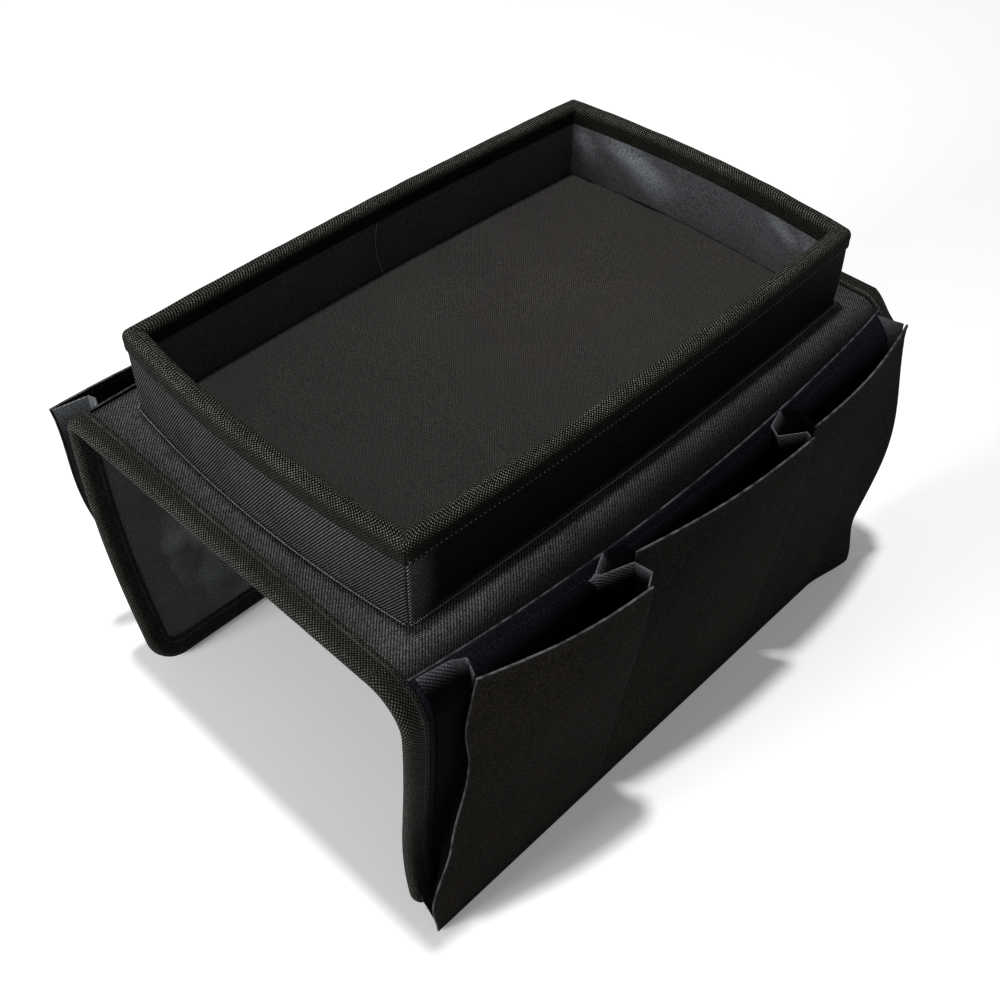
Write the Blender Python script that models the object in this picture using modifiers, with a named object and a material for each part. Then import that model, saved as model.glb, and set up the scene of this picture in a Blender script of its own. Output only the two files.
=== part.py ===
"""Armrest organizer: a stiffened fabric saddle for a sofa arm, with a boarded tray sewn on top
and a row of three bellows pockets on each hanging flap.

Metres, +Z up. X runs across the sofa arm, Y along it, and the floor under the flaps is z = 0.
The design frame inside the saddle empty has its zero at the middle of the tray, on the top face
of the saddle cover. Cloth is drawn as its middle surface and then given its thickness.
"""

import math
from collections import namedtuple

import bmesh
import bpy
from mathutils import Matrix, Vector

# Saddle and flaps
saddle_height = 0.1587
saddle_half_length = 0.169
cover_thickness = 0.0006
board_thickness = 0.0012
lining_thickness = 0.0006
layer_gap = 0.0003
board_margin = 0.0015
lining_pinch = 0.0002

# Binding tape round every cloth edge
tape_thickness = 0.0006
tape_leg = 0.011
tape_joint_gap = 0.0004

# Tray
tray_half_width = 0.0903
tray_end_setback = 0.0219
tray_height = 0.0439
tray_corner_radius = 0.004
tray_least_corner_radius = 0.0008
tray_long_side_bow = 0.0033
tray_short_side_bow = 0.0059
wall_board_thickness = 0.005
band_thickness = 0.0006
band_flange = 0.0035
band_flange_bend = 0.0014
rim_leg = 0.009
rim_roll = 0.003
wall_mitre_gap = 0.0014
floor_board_thickness = 0.0015
floor_pad_thickness = 0.003
floor_clearance = 0.0005
floor_pad_rounding = 0.0008
floor_corner_radius = 0.003

# Pocket rows
pocket_row_setback = 0.015
pocket_cloth = 0.0006
pocket_front_thickness = 0.001
pocket_mouth_depth = 0.0218
pocket_mouth_drop = 0.008
pocket_mouth_bulge = 0.0035
pocket_belly = 0.003
pocket_free_edge_flare = 0.0065
pocket_edge_gap = 0.0008
pocket_seam_gap = 0.0024
pocket_toe_reach = 0.0101
pocket_toe_lip = 0.004
gusset_fold_depth = 0.014
gusset_foot_fold = 0.003
gusset_edge_inset = 0.0008
gusset_edge_gap = 0.0005
back_hem_share = 0.58
base_seam_share = 0.35

# One side of the saddle. Reach is from the tray's middle to the start of the fold, lean tips the
# flap inwards, bow bulges it outwards, and the hem hangs that high above the floor. Run is the way
# the row goes along Y, and each pocket has two gap shares, at the ends of its mouth, and two fold shares.
Side = namedtuple(
    "Side",
    "name sign fold_reach fold_radius lean bow bow_skew hem_height hem_corner_radius run gap_shares fold_shares",
)

right_side = Side(
    name="right",
    sign=1,
    fold_reach=0.0939,
    fold_radius=0.020,
    lean=math.radians(0),
    bow=-0.005,
    bow_skew=1.9,
    hem_height=0.0061,
    hem_corner_radius=0.012,
    run=1,
    gap_shares=((0.17, 1.0), (0.23, 0.79), (0.62, 0.12)),
    fold_shares=((0.9, 1.0), (0.25, 1.0), (0.25, 0.0)),
)
left_side = Side(
    name="left",
    sign=-1,
    fold_reach=0.098,
    fold_radius=0.007,
    lean=math.radians(8),
    bow=0.010,
    bow_skew=1.0,
    hem_height=0.0,
    hem_corner_radius=0.017,
    run=-1,
    gap_shares=((0.5, 1.0), (0.4, 0.79), (0.75, 1.1)),
    fold_shares=((0.9, 1.0), (0.25, 1.0), (0.25, 0.8)),
)

# Where the three pockets of a row start and end, as shares of half the row's length
pocket_seam_shares = ((-1.016, -0.364), (-0.364, 0.43), (0.43, 1.0))
pocket_mouth_shares = ((-0.886, -0.356), (-0.296, 0.414), (0.452, 1.07))
pocket_foot_shares = ((-1.077, -0.407), (-0.407, 0.34), (0.34, 0.929))
# A gusset's folds from the flap to the front: how far across, and how deep into the pocket
start_gusset_shares = ((0.0, 0.0), (0.35, 1.0), (1.0, 0.0))
end_gusset_shares = ((0.0, 0.0), (0.3, 1.0), (0.62, -0.12), (1.0, 0.0))

# Facets
fold_steps = 8
flap_steps = 10
corner_steps = 4
round_steps = 5
side_steps = 6
tray_corner_steps = 6
front_steps_across = 6
front_steps_up = 7
gusset_steps = 6
roll_steps = 4
weld_distance = 0.00001
slope_step_share = 0.01

# Colours, as red, green and blue, with roughness
finishes = {
    "cover": ((0.020, 0.020, 0.022), 0.75),
    "tape": ((0.035, 0.037, 0.034), 0.70),
    "lining": ((0.035, 0.042, 0.050), 0.45),
    "pocket": ((0.016, 0.014, 0.013), 0.65),
    "gusset": ((0.018, 0.020, 0.028), 0.70),
    "pad": ((0.024, 0.021, 0.019), 0.85),
    "board": ((0.45, 0.40, 0.32), 0.90),
}

# The cloth sandwich, measured from its middle surface
half_sandwich = (cover_thickness + board_thickness + lining_thickness) / 2 + layer_gap
cover_middle = half_sandwich - cover_thickness / 2
board_middle = half_sandwich - cover_thickness - layer_gap - board_thickness / 2
lining_middle = -half_sandwich + lining_thickness / 2
tape_radius = half_sandwich + layer_gap + tape_thickness / 2
tape_face = tape_radius + tape_thickness / 2
edge_setback = tape_face
back_middle = half_sandwich + layer_gap + pocket_cloth / 2
back_face = back_middle + pocket_cloth / 2
saddle_middle_z = -half_sandwich
straight_half_length = saddle_half_length - edge_setback
between_tapes = saddle_half_length - tape_leg - layer_gap

# What follows the saddle's length
tray_half_length = saddle_half_length - tray_end_setback
pocket_row_half = saddle_half_length - pocket_row_setback

# The tray wall, measured inwards from its outer face
outer_band_middle = band_thickness / 2
wall_board_middle = band_thickness + layer_gap + wall_board_thickness / 2
inner_band_middle = band_thickness + 2 * layer_gap + wall_board_thickness + band_thickness / 2
wall_thickness = inner_band_middle + band_thickness / 2
rim_middle_radius = wall_thickness / 2 + layer_gap + tape_thickness / 2
wall_top = tray_height - tape_thickness - rim_roll
tray_base = layer_gap
floor_board_middle = layer_gap + floor_board_thickness / 2
floor_pad_middle = 2 * layer_gap + floor_board_thickness + floor_pad_thickness / 2

Body = namedtuple("Body", "empty place")


def clear_scene():
    for old in list(bpy.data.objects):
        bpy.data.objects.remove(old, do_unlink=True)


def new_collection(name):
    collection = bpy.data.collections.new(name)
    bpy.context.scene.collection.children.link(collection)
    return collection


def new_body(name, place, carrier=None):
    """An empty at a joint. Place is in the design frame, except for the saddle's own."""
    empty = bpy.data.objects.new(name, None)
    empty.empty_display_size = tape_leg
    parts.objects.link(empty)
    empty.location = place - carrier.place if carrier else place
    if carrier:
        empty.parent = carrier.empty
    return Body(empty, place if carrier else Vector())


def finish_object(obj, body, finish):
    """Parent the object to its body and give it its own material."""
    colour, roughness = finishes[finish]
    material = bpy.data.materials.new(obj.name + "_" + finish)
    material.use_nodes = True
    shader = material.node_tree.nodes["Principled BSDF"]
    shader.inputs["Base Color"].default_value = (*colour, 1.0)
    shader.inputs["Roughness"].default_value = roughness
    shader.inputs["Metallic"].default_value = 0.0
    material.diffuse_color = (*colour, 1.0)
    obj.data.materials.append(material)
    obj.parent = body.empty
    parts.objects.link(obj)
    return obj


def sheet(name, rows, thickness, body, finish, ring=False):
    """Cloth or card through rows of points on its middle surface. A ring's rows join at their ends."""
    if ring:
        rows = [row + row[:1] for row in rows]
    grid = bmesh.new()
    bmesh.ops.create_grid(grid, x_segments=len(rows[0]) - 1, y_segments=len(rows) - 1, size=1.0)
    in_order = sorted(grid.verts, key=lambda vert: (round(vert.co.y, 4), round(vert.co.x, 4)))
    for vert, point in zip(in_order, (point for row in rows for point in row)):
        vert.co = point - body.place
    bmesh.ops.remove_doubles(grid, verts=grid.verts, dist=weld_distance)
    mesh = bpy.data.meshes.new(name)
    grid.to_mesh(mesh)
    grid.free()
    mesh.shade_smooth()
    mesh.set_sharp_from_angle(angle=math.radians(40))
    obj = bpy.data.objects.new(name, mesh)
    solidify = obj.modifiers.new("thickness", "SOLIDIFY")
    solidify.thickness = thickness
    solidify.offset = 0.0
    solidify.use_even_offset = True
    return finish_object(obj, body, finish)


def flat_panel(name, outline, thickness, middle_z, body, finish, rounding=0.0):
    """A card or pad cut to a flat outline."""
    curve = bpy.data.curves.new(name, "CURVE")
    curve.dimensions = "2D"
    curve.fill_mode = "BOTH"
    curve.extrude = thickness / 2
    spline = curve.splines.new("POLY")
    spline.points.add(len(outline) - 1)
    for point, place in zip(spline.points, outline):
        point.co = (place.x, place.y, 0.0, 1.0)
    spline.use_cyclic_u = True
    obj = bpy.data.objects.new(name, curve)
    obj.location = Vector((0.0, 0.0, middle_z)) - body.place
    if rounding:
        weld = obj.modifiers.new("weld caps", "WELD")
        weld.merge_threshold = weld_distance
        bevel = obj.modifiers.new("soft edge", "BEVEL")
        bevel.width = rounding
        bevel.segments = 2
        bevel.limit_method = "ANGLE"
        bevel.angle_limit = math.radians(60)
    return finish_object(obj, body, finish)


def mix(start, end, share):
    return start + (end - start) * share


def shares(count):
    return [step / count for step in range(count + 1)]


# Geometry of one side: the fold's arc, then the flap

def middle_radius(side):
    return side.fold_radius - half_sandwich


def bow_at(side, share):
    return side.bow * math.sin(math.pi * max(share, 0.0) ** side.bow_skew)


def bow_tilt(side, share, length):
    """Slope of the bowed flap, by a small difference."""
    rise = bow_at(side, share + slope_step_share) - bow_at(side, share)
    return rise / (slope_step_share * length)


def fold_sweep(side):
    """Angle of the arc, from level to where the flap sets off."""
    rough_length = saddle_height - side.fold_radius
    return math.pi / 2 + side.lean - math.atan(bow_tilt(side, 0.0, rough_length))


def fold_point(side, angle, offset, y):
    radius = middle_radius(side) + offset
    x = side.fold_reach + radius * math.sin(angle)
    z = -side.fold_radius + radius * math.cos(angle)
    return Vector((side.sign * x, y, z))


def flap_axes(side):
    """Outward and downward directions of the hanging flap."""
    outward = Vector((side.sign * math.cos(side.lean), 0.0, -math.sin(side.lean)))
    down = Vector((-side.sign * math.sin(side.lean), 0.0, -math.cos(side.lean)))
    return outward, down


def flap_point(side, outward_distance, y, drop):
    """A point by its distance out from the flap's straight middle line and down from the fold's end."""
    outward, down = flap_axes(side)
    place = fold_point(side, fold_sweep(side), 0.0, 0.0)
    return place + outward * outward_distance + down * drop + Vector((0.0, y, 0.0))


def drop_to_height(side, height, outward_distance=0.0):
    """How far down the flap a level above the floor lies, at that distance out."""
    start = flap_point(side, outward_distance, 0.0, 0.0).z + saddle_height
    return (start - height) / math.cos(side.lean)


def flap_length(side):
    """Down to the outer edge of the hem, whose round underside stands that high."""
    return drop_to_height(side, side.hem_height + tape_face) + tape_face


def cloth_point(side, offset, y, drop):
    """A point on the bowed flap, at that offset from its middle surface."""
    length = flap_length(side)
    share = min(max(drop / length, 0.0), 1.0)
    outward, down = flap_axes(side)
    tilt = bow_tilt(side, share, length) if share < 1.0 else 0.0
    normal = (outward - down * tilt).normalized()
    return flap_point(side, bow_at(side, share), y, drop) + normal * offset


def seam_point(side, offset, y, drop):
    """Like cloth_point, and above the fold's end it follows the roll."""
    if drop >= 0.0:
        return cloth_point(side, offset, y, drop)
    back = math.asin(min(-drop / middle_radius(side), 1.0))
    return fold_point(side, fold_sweep(side) - back, offset, y)


def hinge_place(side):
    """On the arc's diagonal, where a rigid turn keeps the cloth's length over the fold."""
    reach = middle_radius(side) * math.pi / 4
    return Vector((side.sign * (side.fold_reach + reach), 0.0, -side.fold_radius + reach))


# Binding tape

def tape_section():
    """Across a bound edge, from leg to leg: distance in from the edge, and offset from the middle."""
    section = [(tape_leg, tape_radius)]
    for share in shares(round_steps):
        angle = math.pi * share
        section.append((edge_setback - tape_radius * math.sin(angle), tape_radius * math.cos(angle)))
    section.append((tape_leg, -tape_radius))
    return section


def top_ends():
    """Where the flat top stops, with a small gap to the start of each fold."""
    left = -left_side.fold_reach + tape_joint_gap
    right = right_side.fold_reach - tape_joint_gap
    return left, right


# Pieces of the saddle's top

def build_top(saddle):
    left, right = top_ends()
    half = straight_half_length
    cover_z = saddle_middle_z + cover_middle
    lining_z = saddle_middle_z + lining_middle
    sheet(
        "top_cover",
        [[Vector((x, y, cover_z)) for x in (left, right)] for y in (-half, half)],
        cover_thickness,
        saddle,
        "cover",
    )
    pinch_start = between_tapes + layer_gap
    pinched = [(-half, lining_pinch), (-pinch_start, lining_pinch), (-between_tapes, 0.0)]
    pinched += [(-y, lift) for y, lift in reversed(pinched)]
    sheet(
        "top_lining",
        [[Vector((x, y, lining_z + lift)) for x in (left, right)] for y, lift in pinched],
        lining_thickness,
        saddle,
        "lining",
    )
    bpy.ops.mesh.primitive_cube_add(size=1.0)
    board = bpy.context.object
    board.name = "top_board"
    for collection in list(board.users_collection):
        collection.objects.unlink(board)
    length = 2 * (half - board_margin)
    size = Vector((right - left - 2 * board_margin, length, board_thickness))
    for vert in board.data.vertices:
        vert.co = Vector(vert.co) * size
    board.location = ((left + right) / 2, 0.0, saddle_middle_z + board_middle)
    finish_object(board, saddle, "board")
    for name, edge in (("front", -1), ("rear", 1)):
        rows = [
            [
                Vector((x, edge * (saddle_half_length - inwards), saddle_middle_z + offset))
                for inwards, offset in tape_section()
            ]
            for x in (left, right)
        ]
        sheet(f"top_{name}_binding", rows, tape_thickness, saddle, "tape")


# Pieces of the tray

def tray_wall_sizes(side_number):
    """Half the tray's size across a wall and along it, each with how far that side bows out."""
    long_side = (tray_half_width, tray_long_side_bow)
    short_side = (tray_half_length, tray_short_side_bow)
    return (short_side, long_side)[side_number % 2 == 0] + (long_side, short_side)[side_number % 2 == 0]


def tray_quarter(side_number, inset, least_radius):
    """Outline of one tray wall, from the middle of one corner to the middle of the next."""
    across, bow, along, next_bow = tray_wall_sizes(side_number)
    radius = max(tray_corner_radius - inset, least_radius)
    straight = along - next_bow - inset - radius
    centre = across - bow - inset - radius
    half_corner = shares(tray_corner_steps // 2)
    points = []
    for share in half_corner:
        angle = math.radians(-45) * (1 - share)
        points.append((centre + radius * math.cos(angle), -straight + radius * math.sin(angle)))
    for share in shares(side_steps)[1:-1]:
        place = 2 * share - 1
        points.append((across - inset - bow * place**2, place * straight))
    for share in half_corner:
        angle = math.radians(45) * share
        points.append((centre + radius * math.cos(angle), straight + radius * math.sin(angle)))
    turned = Matrix.Rotation(side_number * math.pi / 2, 3, "Z")
    return [turned @ Vector((out, run, 0.0)) for out, run in points]


def tray_outline(inset, least_radius=tray_least_corner_radius):
    quarters = [tray_quarter(side_number, inset, least_radius) for side_number in range(4)]
    return [point for quarter in quarters for point in quarter[:-1]]


def wall_board_line(side_number):
    """Middle line of one wall's board. The long walls' boards stop against the short walls' ones."""
    across, bow, along, next_bow = tray_wall_sizes(side_number)
    if side_number % 2:
        half_run = along - next_bow - tray_corner_radius
    else:
        half_run = along - next_bow - wall_board_middle - wall_board_thickness / 2 - wall_mitre_gap
    places = [2 * share - 1 for share in shares(side_steps)]
    turned = Matrix.Rotation(side_number * math.pi / 2, 3, "Z")
    out = across - wall_board_middle
    return [turned @ Vector((out - bow * place**2, place * half_run, 0.0)) for place in places]


def raised(points, z):
    return [point + Vector((0.0, 0.0, z)) for point in points]


def build_tray(saddle):
    middle = outer_band_middle
    flange_z = tray_base + band_thickness / 2
    rows = [raised(tray_outline(-band_flange), flange_z)]
    rows.append(raised(tray_outline(middle - band_flange_bend), flange_z))
    rows.append(raised(tray_outline(middle), flange_z + band_flange_bend))
    rows.append(raised(tray_outline(middle), wall_top))
    sheet("tray_outer_band", rows, band_thickness, saddle, "cover", ring=True)

    rows = [raised(tray_outline(inner_band_middle), z) for z in (tray_base, wall_top)]
    sheet("tray_inner_band", rows, band_thickness, saddle, "lining", ring=True)

    board_base = tray_base + band_thickness + layer_gap
    for side_number, name in enumerate(("right", "rear", "left", "front")):
        rows = [raised(wall_board_line(side_number), z) for z in (board_base, wall_top)]
        sheet(f"tray_{name}_board", rows, wall_board_thickness, saddle, "board")

    wall_middle = wall_thickness / 2
    section = [(-rim_middle_radius, tray_height - rim_leg)]
    roll = rim_roll + tape_thickness / 2
    corner_z = tray_height - tape_thickness / 2 - roll
    for share in shares(round_steps - 2):
        angle = math.pi / 2 * share
        section.append((-rim_middle_radius + roll * (1 - math.cos(angle)), corner_z + roll * math.sin(angle)))
    section += [(-inwards, z) for inwards, z in reversed(section)]
    rows = [raised(tray_outline(wall_middle + inwards), z) for inwards, z in section]
    sheet("tray_rim_binding", rows, tape_thickness, saddle, "tape", ring=True)

    inset = wall_thickness + floor_clearance
    outline = tray_outline(inset, floor_corner_radius)
    thickness = floor_board_thickness
    flat_panel("tray_floor_board", outline, thickness, floor_board_middle, saddle, "board")
    thickness = floor_pad_thickness
    flat_panel("tray_floor_pad", outline, thickness, floor_pad_middle, saddle, "pad", floor_pad_rounding)


# Pieces of one side

def build_fold(side, saddle):
    """The cloth where it rolls over the arm: it bends when the flap swings."""
    sweep = fold_sweep(side)
    angles = [sweep * share for share in shares(fold_steps)]
    half = straight_half_length
    layers = (("cover", cover_middle, cover_thickness), ("lining", lining_middle, lining_thickness))
    for name, offset, thickness in layers:
        rows = [[fold_point(side, angle, offset, y) for y in (-half, half)] for angle in angles]
        sheet(f"{side.name}_fold_{name}", rows, thickness, saddle, name)
    for name, edge in (("front", -1), ("rear", 1)):
        rows = [
            [
                fold_point(side, angle, offset, edge * (saddle_half_length - inwards))
                for inwards, offset in tape_section()
            ]
            for angle in angles
        ]
        sheet(f"{side.name}_fold_{name}_binding", rows, tape_thickness, saddle, "tape")
    top = back_hem_share * sweep
    angles = [mix(top, sweep, share) for share in shares(fold_steps // 2)]
    ends = (-between_tapes, between_tapes)
    rows = [[fold_point(side, angle, back_middle, y) for y in ends] for angle in angles]
    sheet(f"{side.name}_pocket_back_hem", rows, pocket_cloth, saddle, "pocket")


def flap_rows(side, setback):
    """Levels down a flap layer with its half length at each, round at the lower corners."""
    bottom = flap_length(side) - setback
    radius = max(side.hem_corner_radius - setback, weld_distance)
    levels = [(mix(tape_joint_gap, bottom - radius, share), 0.0) for share in shares(flap_steps)]
    for share in shares(corner_steps)[1:]:
        angle = math.pi / 2 * share
        levels.append((bottom - radius + radius * math.sin(angle), radius * (1 - math.cos(angle))))
    return [(drop, saddle_half_length - setback - inset) for drop, inset in levels]


def flap_layer(side, name, offset, thickness, setback, flap, finish):
    rows = [
        [cloth_point(side, offset, y, drop) for y in (-half, half)]
        for drop, half in flap_rows(side, setback)
    ]
    sheet(f"{side.name}_{name}", rows, thickness, flap, finish)


def hem_path(side):
    """Along the flap's bound edge, front to rear: drop, y, and the direction in from the edge."""
    radius = side.hem_corner_radius
    corner_drop = flap_length(side) - radius
    corner_y = saddle_half_length - radius
    drops = [mix(tape_joint_gap, corner_drop, share) for share in shares(flap_steps)]
    path = [(drop, saddle_half_length, 0.0) for drop in drops]
    for share in shares(corner_steps)[1:]:
        angle = math.pi / 2 * share
        out_y = corner_y + radius * math.cos(angle)
        path.append((corner_drop + radius * math.sin(angle), out_y, angle))
    front = [(drop, -y, math.cos(angle), -math.sin(angle)) for drop, y, angle in path]
    rear = [(drop, y, -math.cos(angle), -math.sin(angle)) for drop, y, angle in reversed(path)]
    return front + rear


def build_flap(side, flap):
    flap_layer(side, "flap_cover", cover_middle, cover_thickness, edge_setback, flap, "cover")
    setback = edge_setback + board_margin
    flap_layer(side, "flap_board", board_middle, board_thickness, setback, flap, "board")
    flap_layer(side, "flap_lining", lining_middle, lining_thickness, edge_setback, flap, "lining")
    flap_layer(side, "pocket_back", back_middle, pocket_cloth, tape_leg + layer_gap, flap, "pocket")
    rows = [
        [
            cloth_point(side, offset, y + in_y * inwards, drop + in_drop * inwards)
            for inwards, offset in tape_section()
        ]
        for drop, y, in_y, in_drop in hem_path(side)
    ]
    sheet(f"{side.name}_flap_binding", rows, tape_thickness, flap, "tape")


def toe_middle():
    return half_sandwich + pocket_toe_reach - pocket_front_thickness / 2


def base_middle():
    return toe_middle() - pocket_front_thickness / 2 - layer_gap - pocket_cloth / 2


def row_y(side, share):
    return side.run * pocket_row_half * share


def build_pocket_base(side, flap):
    """The strip from the hem out to the toe, on which the row stands."""
    toe = base_middle()
    foot = drop_to_height(side, 0.0, toe)
    seam = tape_face + layer_gap + pocket_cloth / 2
    seam_top = base_top(side)
    seam_end = seam_top + tape_leg * base_seam_share
    ends = sorted((row_y(side, pocket_foot_shares[0][0]), row_y(side, pocket_foot_shares[-1][1])))
    ends = (ends[0] + pocket_edge_gap, ends[1] - pocket_edge_gap)
    rows = [[cloth_point(side, seam, y, drop) for y in ends] for drop in (seam_top, seam_end)]
    rows += [[flap_point(side, toe, y, drop) for y in ends] for drop in (foot - pocket_toe_lip, foot)]
    sheet(f"{side.name}_pocket_base", rows, pocket_cloth, flap, "pocket")


def base_top(side):
    return flap_length(side) - tape_leg


def front_foot_drop(side):
    return drop_to_height(side, layer_gap, toe_middle())


def mouth_drop(side):
    return drop_to_height(side, saddle_height - pocket_mouth_drop)


def free_edge_flare(number, across, up):
    """The row's last edge curls out and away between its toe and its mouth."""
    if number < len(pocket_seam_shares) - 1:
        return 0.0
    fade = max(2 * across - 1, 0.0) ** 2
    return pocket_free_edge_flare * fade * math.sin(math.pi * up) ** 2


def front_point(side, number, across, up, offset=0.0):
    """On a pocket front's middle surface: across from its start seam to its end, up from toe to mouth."""
    start_gap, end_gap = side.gap_shares[number]
    start_mouth, end_mouth = pocket_mouth_shares[number]
    start_foot, end_foot = pocket_foot_shares[number]
    edge_share = pocket_edge_gap / (pocket_row_half * (end_foot - start_foot))
    across = mix(edge_share, 1 - edge_share, across)
    y = row_y(side, mix(mix(start_foot, end_foot, across), mix(start_mouth, end_mouth, across), up))
    drop = mix(front_foot_drop(side), mouth_drop(side), up)
    mouth = half_sandwich + pocket_mouth_depth * mix(start_gap, end_gap, across) - pocket_front_thickness / 2
    swell = math.sin(math.pi * across) * pocket_mouth_bulge * up
    belly = math.sin(math.pi * up) * pocket_belly
    bow = bow_at(side, min(max(drop / flap_length(side), 0.0), 1.0)) * math.sin(math.pi / 2 * up)
    flare = free_edge_flare(number, across, up)
    out = mix(toe_middle(), mouth, up) + swell + belly + bow + flare + offset
    return flap_point(side, out, y + side.run * flare, drop)


def build_pocket_front(side, number, flap):
    """The front swings on the line of its toe."""
    foot_y = front_point(side, number, 0.5, 0.0).y
    place = flap_point(side, toe_middle(), foot_y, front_foot_drop(side))
    front = new_body(f"{side.name}_pocket_{number + 1}_hinge", place, flap)
    rows = [
        [front_point(side, number, across, up) for across in shares(front_steps_across)]
        for up in shares(front_steps_up)
    ]
    sheet(f"{side.name}_pocket_{number + 1}_front", rows, pocket_front_thickness, front, "pocket")


def build_gusset(side, number, end, flap):
    """The folded side of a pocket, from the seam on the flap out to the edge of the front."""
    profile = (start_gusset_shares, end_gusset_shares)[end]
    inwards = side.run * (1, -1)[end]
    fold_share = side.fold_shares[number][end]
    seam_y = row_y(side, pocket_seam_shares[number][end]) + inwards * pocket_seam_gap / 2
    seam_offset = back_face + layer_gap + pocket_cloth / 2
    behind_front = -pocket_front_thickness / 2 - gusset_edge_gap - pocket_cloth / 2
    foot = front_foot_drop(side)
    mouth = mouth_drop(side)
    lowest = base_top(side) - layer_gap
    highest_straight = max(mouth, 0.0)
    drops = [mix(lowest, highest_straight, share) for share in shares(gusset_steps)]
    if mouth < 0.0:
        drops += [mouth * share for share in shares(roll_steps)[1:]]
    rows = []
    for drop in drops:
        seam = seam_point(side, seam_offset, seam_y, drop)
        edge = front_point(side, number, end, (foot - drop) / (foot - mouth), behind_front)
        edge.y += inwards * gusset_edge_inset
        depth = fold_share * mix(gusset_foot_fold, gusset_fold_depth, (lowest - drop) / (lowest - mouth))
        rows.append(
            [seam.lerp(edge, along) + Vector((0.0, inwards * depth * fold, 0.0)) for along, fold in profile]
        )
    name = ("start", "end")[end]
    sheet(f"{side.name}_pocket_{number + 1}_{name}_gusset", rows, pocket_cloth, flap, "gusset")


def build_side(side, saddle):
    build_fold(side, saddle)
    flap = new_body(f"{side.name}_flap_hinge", hinge_place(side), saddle)
    build_flap(side, flap)
    build_pocket_base(side, flap)
    for number in range(len(pocket_seam_shares)):
        build_pocket_front(side, number, flap)
        for end in (0, 1):
            build_gusset(side, number, end, flap)


def side_reach(side):
    """From the tray's middle to the outermost pocket mouth of a side."""
    gap = max(max(pair) for pair in side.gap_shares) * pocket_mouth_depth
    mouth = flap_point(side, half_sandwich + gap, 0.0, mouth_drop(side))
    return abs(mouth.x)


clear_scene()
parts = new_collection("armrest_organizer")
middle_x = (side_reach(left_side) - side_reach(right_side)) / 2
saddle_body = new_body("saddle", Vector((middle_x, 0.0, saddle_height)))
build_top(saddle_body)
build_tray(saddle_body)
for each_side in (right_side, left_side):
    build_side(each_side, saddle_body)
bpy.context.view_layer.update()
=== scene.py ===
"""The armrest organizer dressed as the photographed one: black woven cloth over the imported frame.

Metres, +Z up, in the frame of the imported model. Shapes are written in the design frame, whose zero
is the middle of the tray on the top face of the saddle cover, and set in place by tray_middle.
"""

import math
from bisect import bisect_right
from collections import namedtuple

import bpy
from mathutils import Matrix, Vector, noise


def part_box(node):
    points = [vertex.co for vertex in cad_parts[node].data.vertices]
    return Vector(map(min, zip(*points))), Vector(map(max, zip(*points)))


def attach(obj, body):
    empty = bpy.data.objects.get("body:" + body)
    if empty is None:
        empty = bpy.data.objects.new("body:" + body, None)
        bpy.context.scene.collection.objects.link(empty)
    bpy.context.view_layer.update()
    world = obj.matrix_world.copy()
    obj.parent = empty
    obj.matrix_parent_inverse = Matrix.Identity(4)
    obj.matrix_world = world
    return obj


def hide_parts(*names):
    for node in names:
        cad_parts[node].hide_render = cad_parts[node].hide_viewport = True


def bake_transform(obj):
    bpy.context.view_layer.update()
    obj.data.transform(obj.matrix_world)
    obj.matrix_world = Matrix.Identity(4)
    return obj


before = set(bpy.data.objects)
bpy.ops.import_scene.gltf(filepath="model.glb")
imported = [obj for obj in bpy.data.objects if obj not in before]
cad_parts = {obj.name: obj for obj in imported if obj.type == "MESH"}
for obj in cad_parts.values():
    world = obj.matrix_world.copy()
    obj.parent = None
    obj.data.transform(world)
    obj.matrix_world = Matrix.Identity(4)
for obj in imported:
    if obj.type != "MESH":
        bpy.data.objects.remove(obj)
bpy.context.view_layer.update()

rim_low, rim_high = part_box("tray_rim_binding")
saddle_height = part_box("top_cover")[1].z
tray_middle = Vector(((rim_low.x + rim_high.x) / 2, 0.0, saddle_height))

# Saddle and flaps, as in the part
saddle_half_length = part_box("top_rear_binding")[1].y
cover_thickness = 0.0006
board_thickness = 0.0012
lining_thickness = 0.0006
layer_gap = 0.0003
tape_thickness = 0.0006
tape_leg = 0.011
half_sandwich = (cover_thickness + board_thickness + lining_thickness) / 2 + layer_gap
cover_middle = half_sandwich - cover_thickness / 2
lining_middle = -cover_middle
tape_radius = half_sandwich + layer_gap + tape_thickness / 2
tape_face = tape_radius + tape_thickness / 2
saddle_middle_z = -half_sandwich
between_tapes = saddle_half_length - tape_leg - layer_gap
tape_width = 2 * (tape_leg - tape_face) + math.pi * tape_radius

# The saddle's cloths: finish, offset, thickness, and which way each faces
saddle_layers = (("cover", cover_middle, cover_thickness, 1), ("lining", lining_middle, lining_thickness, -1))

# The top's ends, and which way each lies along Y
ends_of_top = (("front", -1), ("rear", 1))
upward = Vector((0.0, 0.0, 1.0))

# Tray
tray_half_width = 0.0903
tray_half_length = saddle_half_length - 0.0219
tray_height = rim_high.z - saddle_height
tray_corner_radius = 0.0025
tray_least_corner_radius = 0.0008
tray_long_side_bow = 0.0033
tray_short_side_bow = 0.0059
corner_share = 1 / 22
tray_steps = 4 * 220
band_thickness = 0.0006
wall_board_thickness = 0.005
band_flange = 0.0014
band_flange_bend = 0.0013
band_flange_lift = 0.0009
band_corner_pinch = 0.0002
rim_leg = 0.009
rim_roll = 0.003
outer_band_middle = band_thickness / 2
inner_band_middle = 1.5 * band_thickness + 2 * layer_gap + wall_board_thickness
wall_thickness = inner_band_middle + band_thickness / 2
rim_middle_radius = wall_thickness / 2 + layer_gap + tape_thickness / 2
wall_top = tray_height - tape_thickness - rim_roll
tray_base = layer_gap
floor_pad_thickness = 0.003
floor_clearance = 0.0005
floor_corner_radius = 0.003

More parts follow.
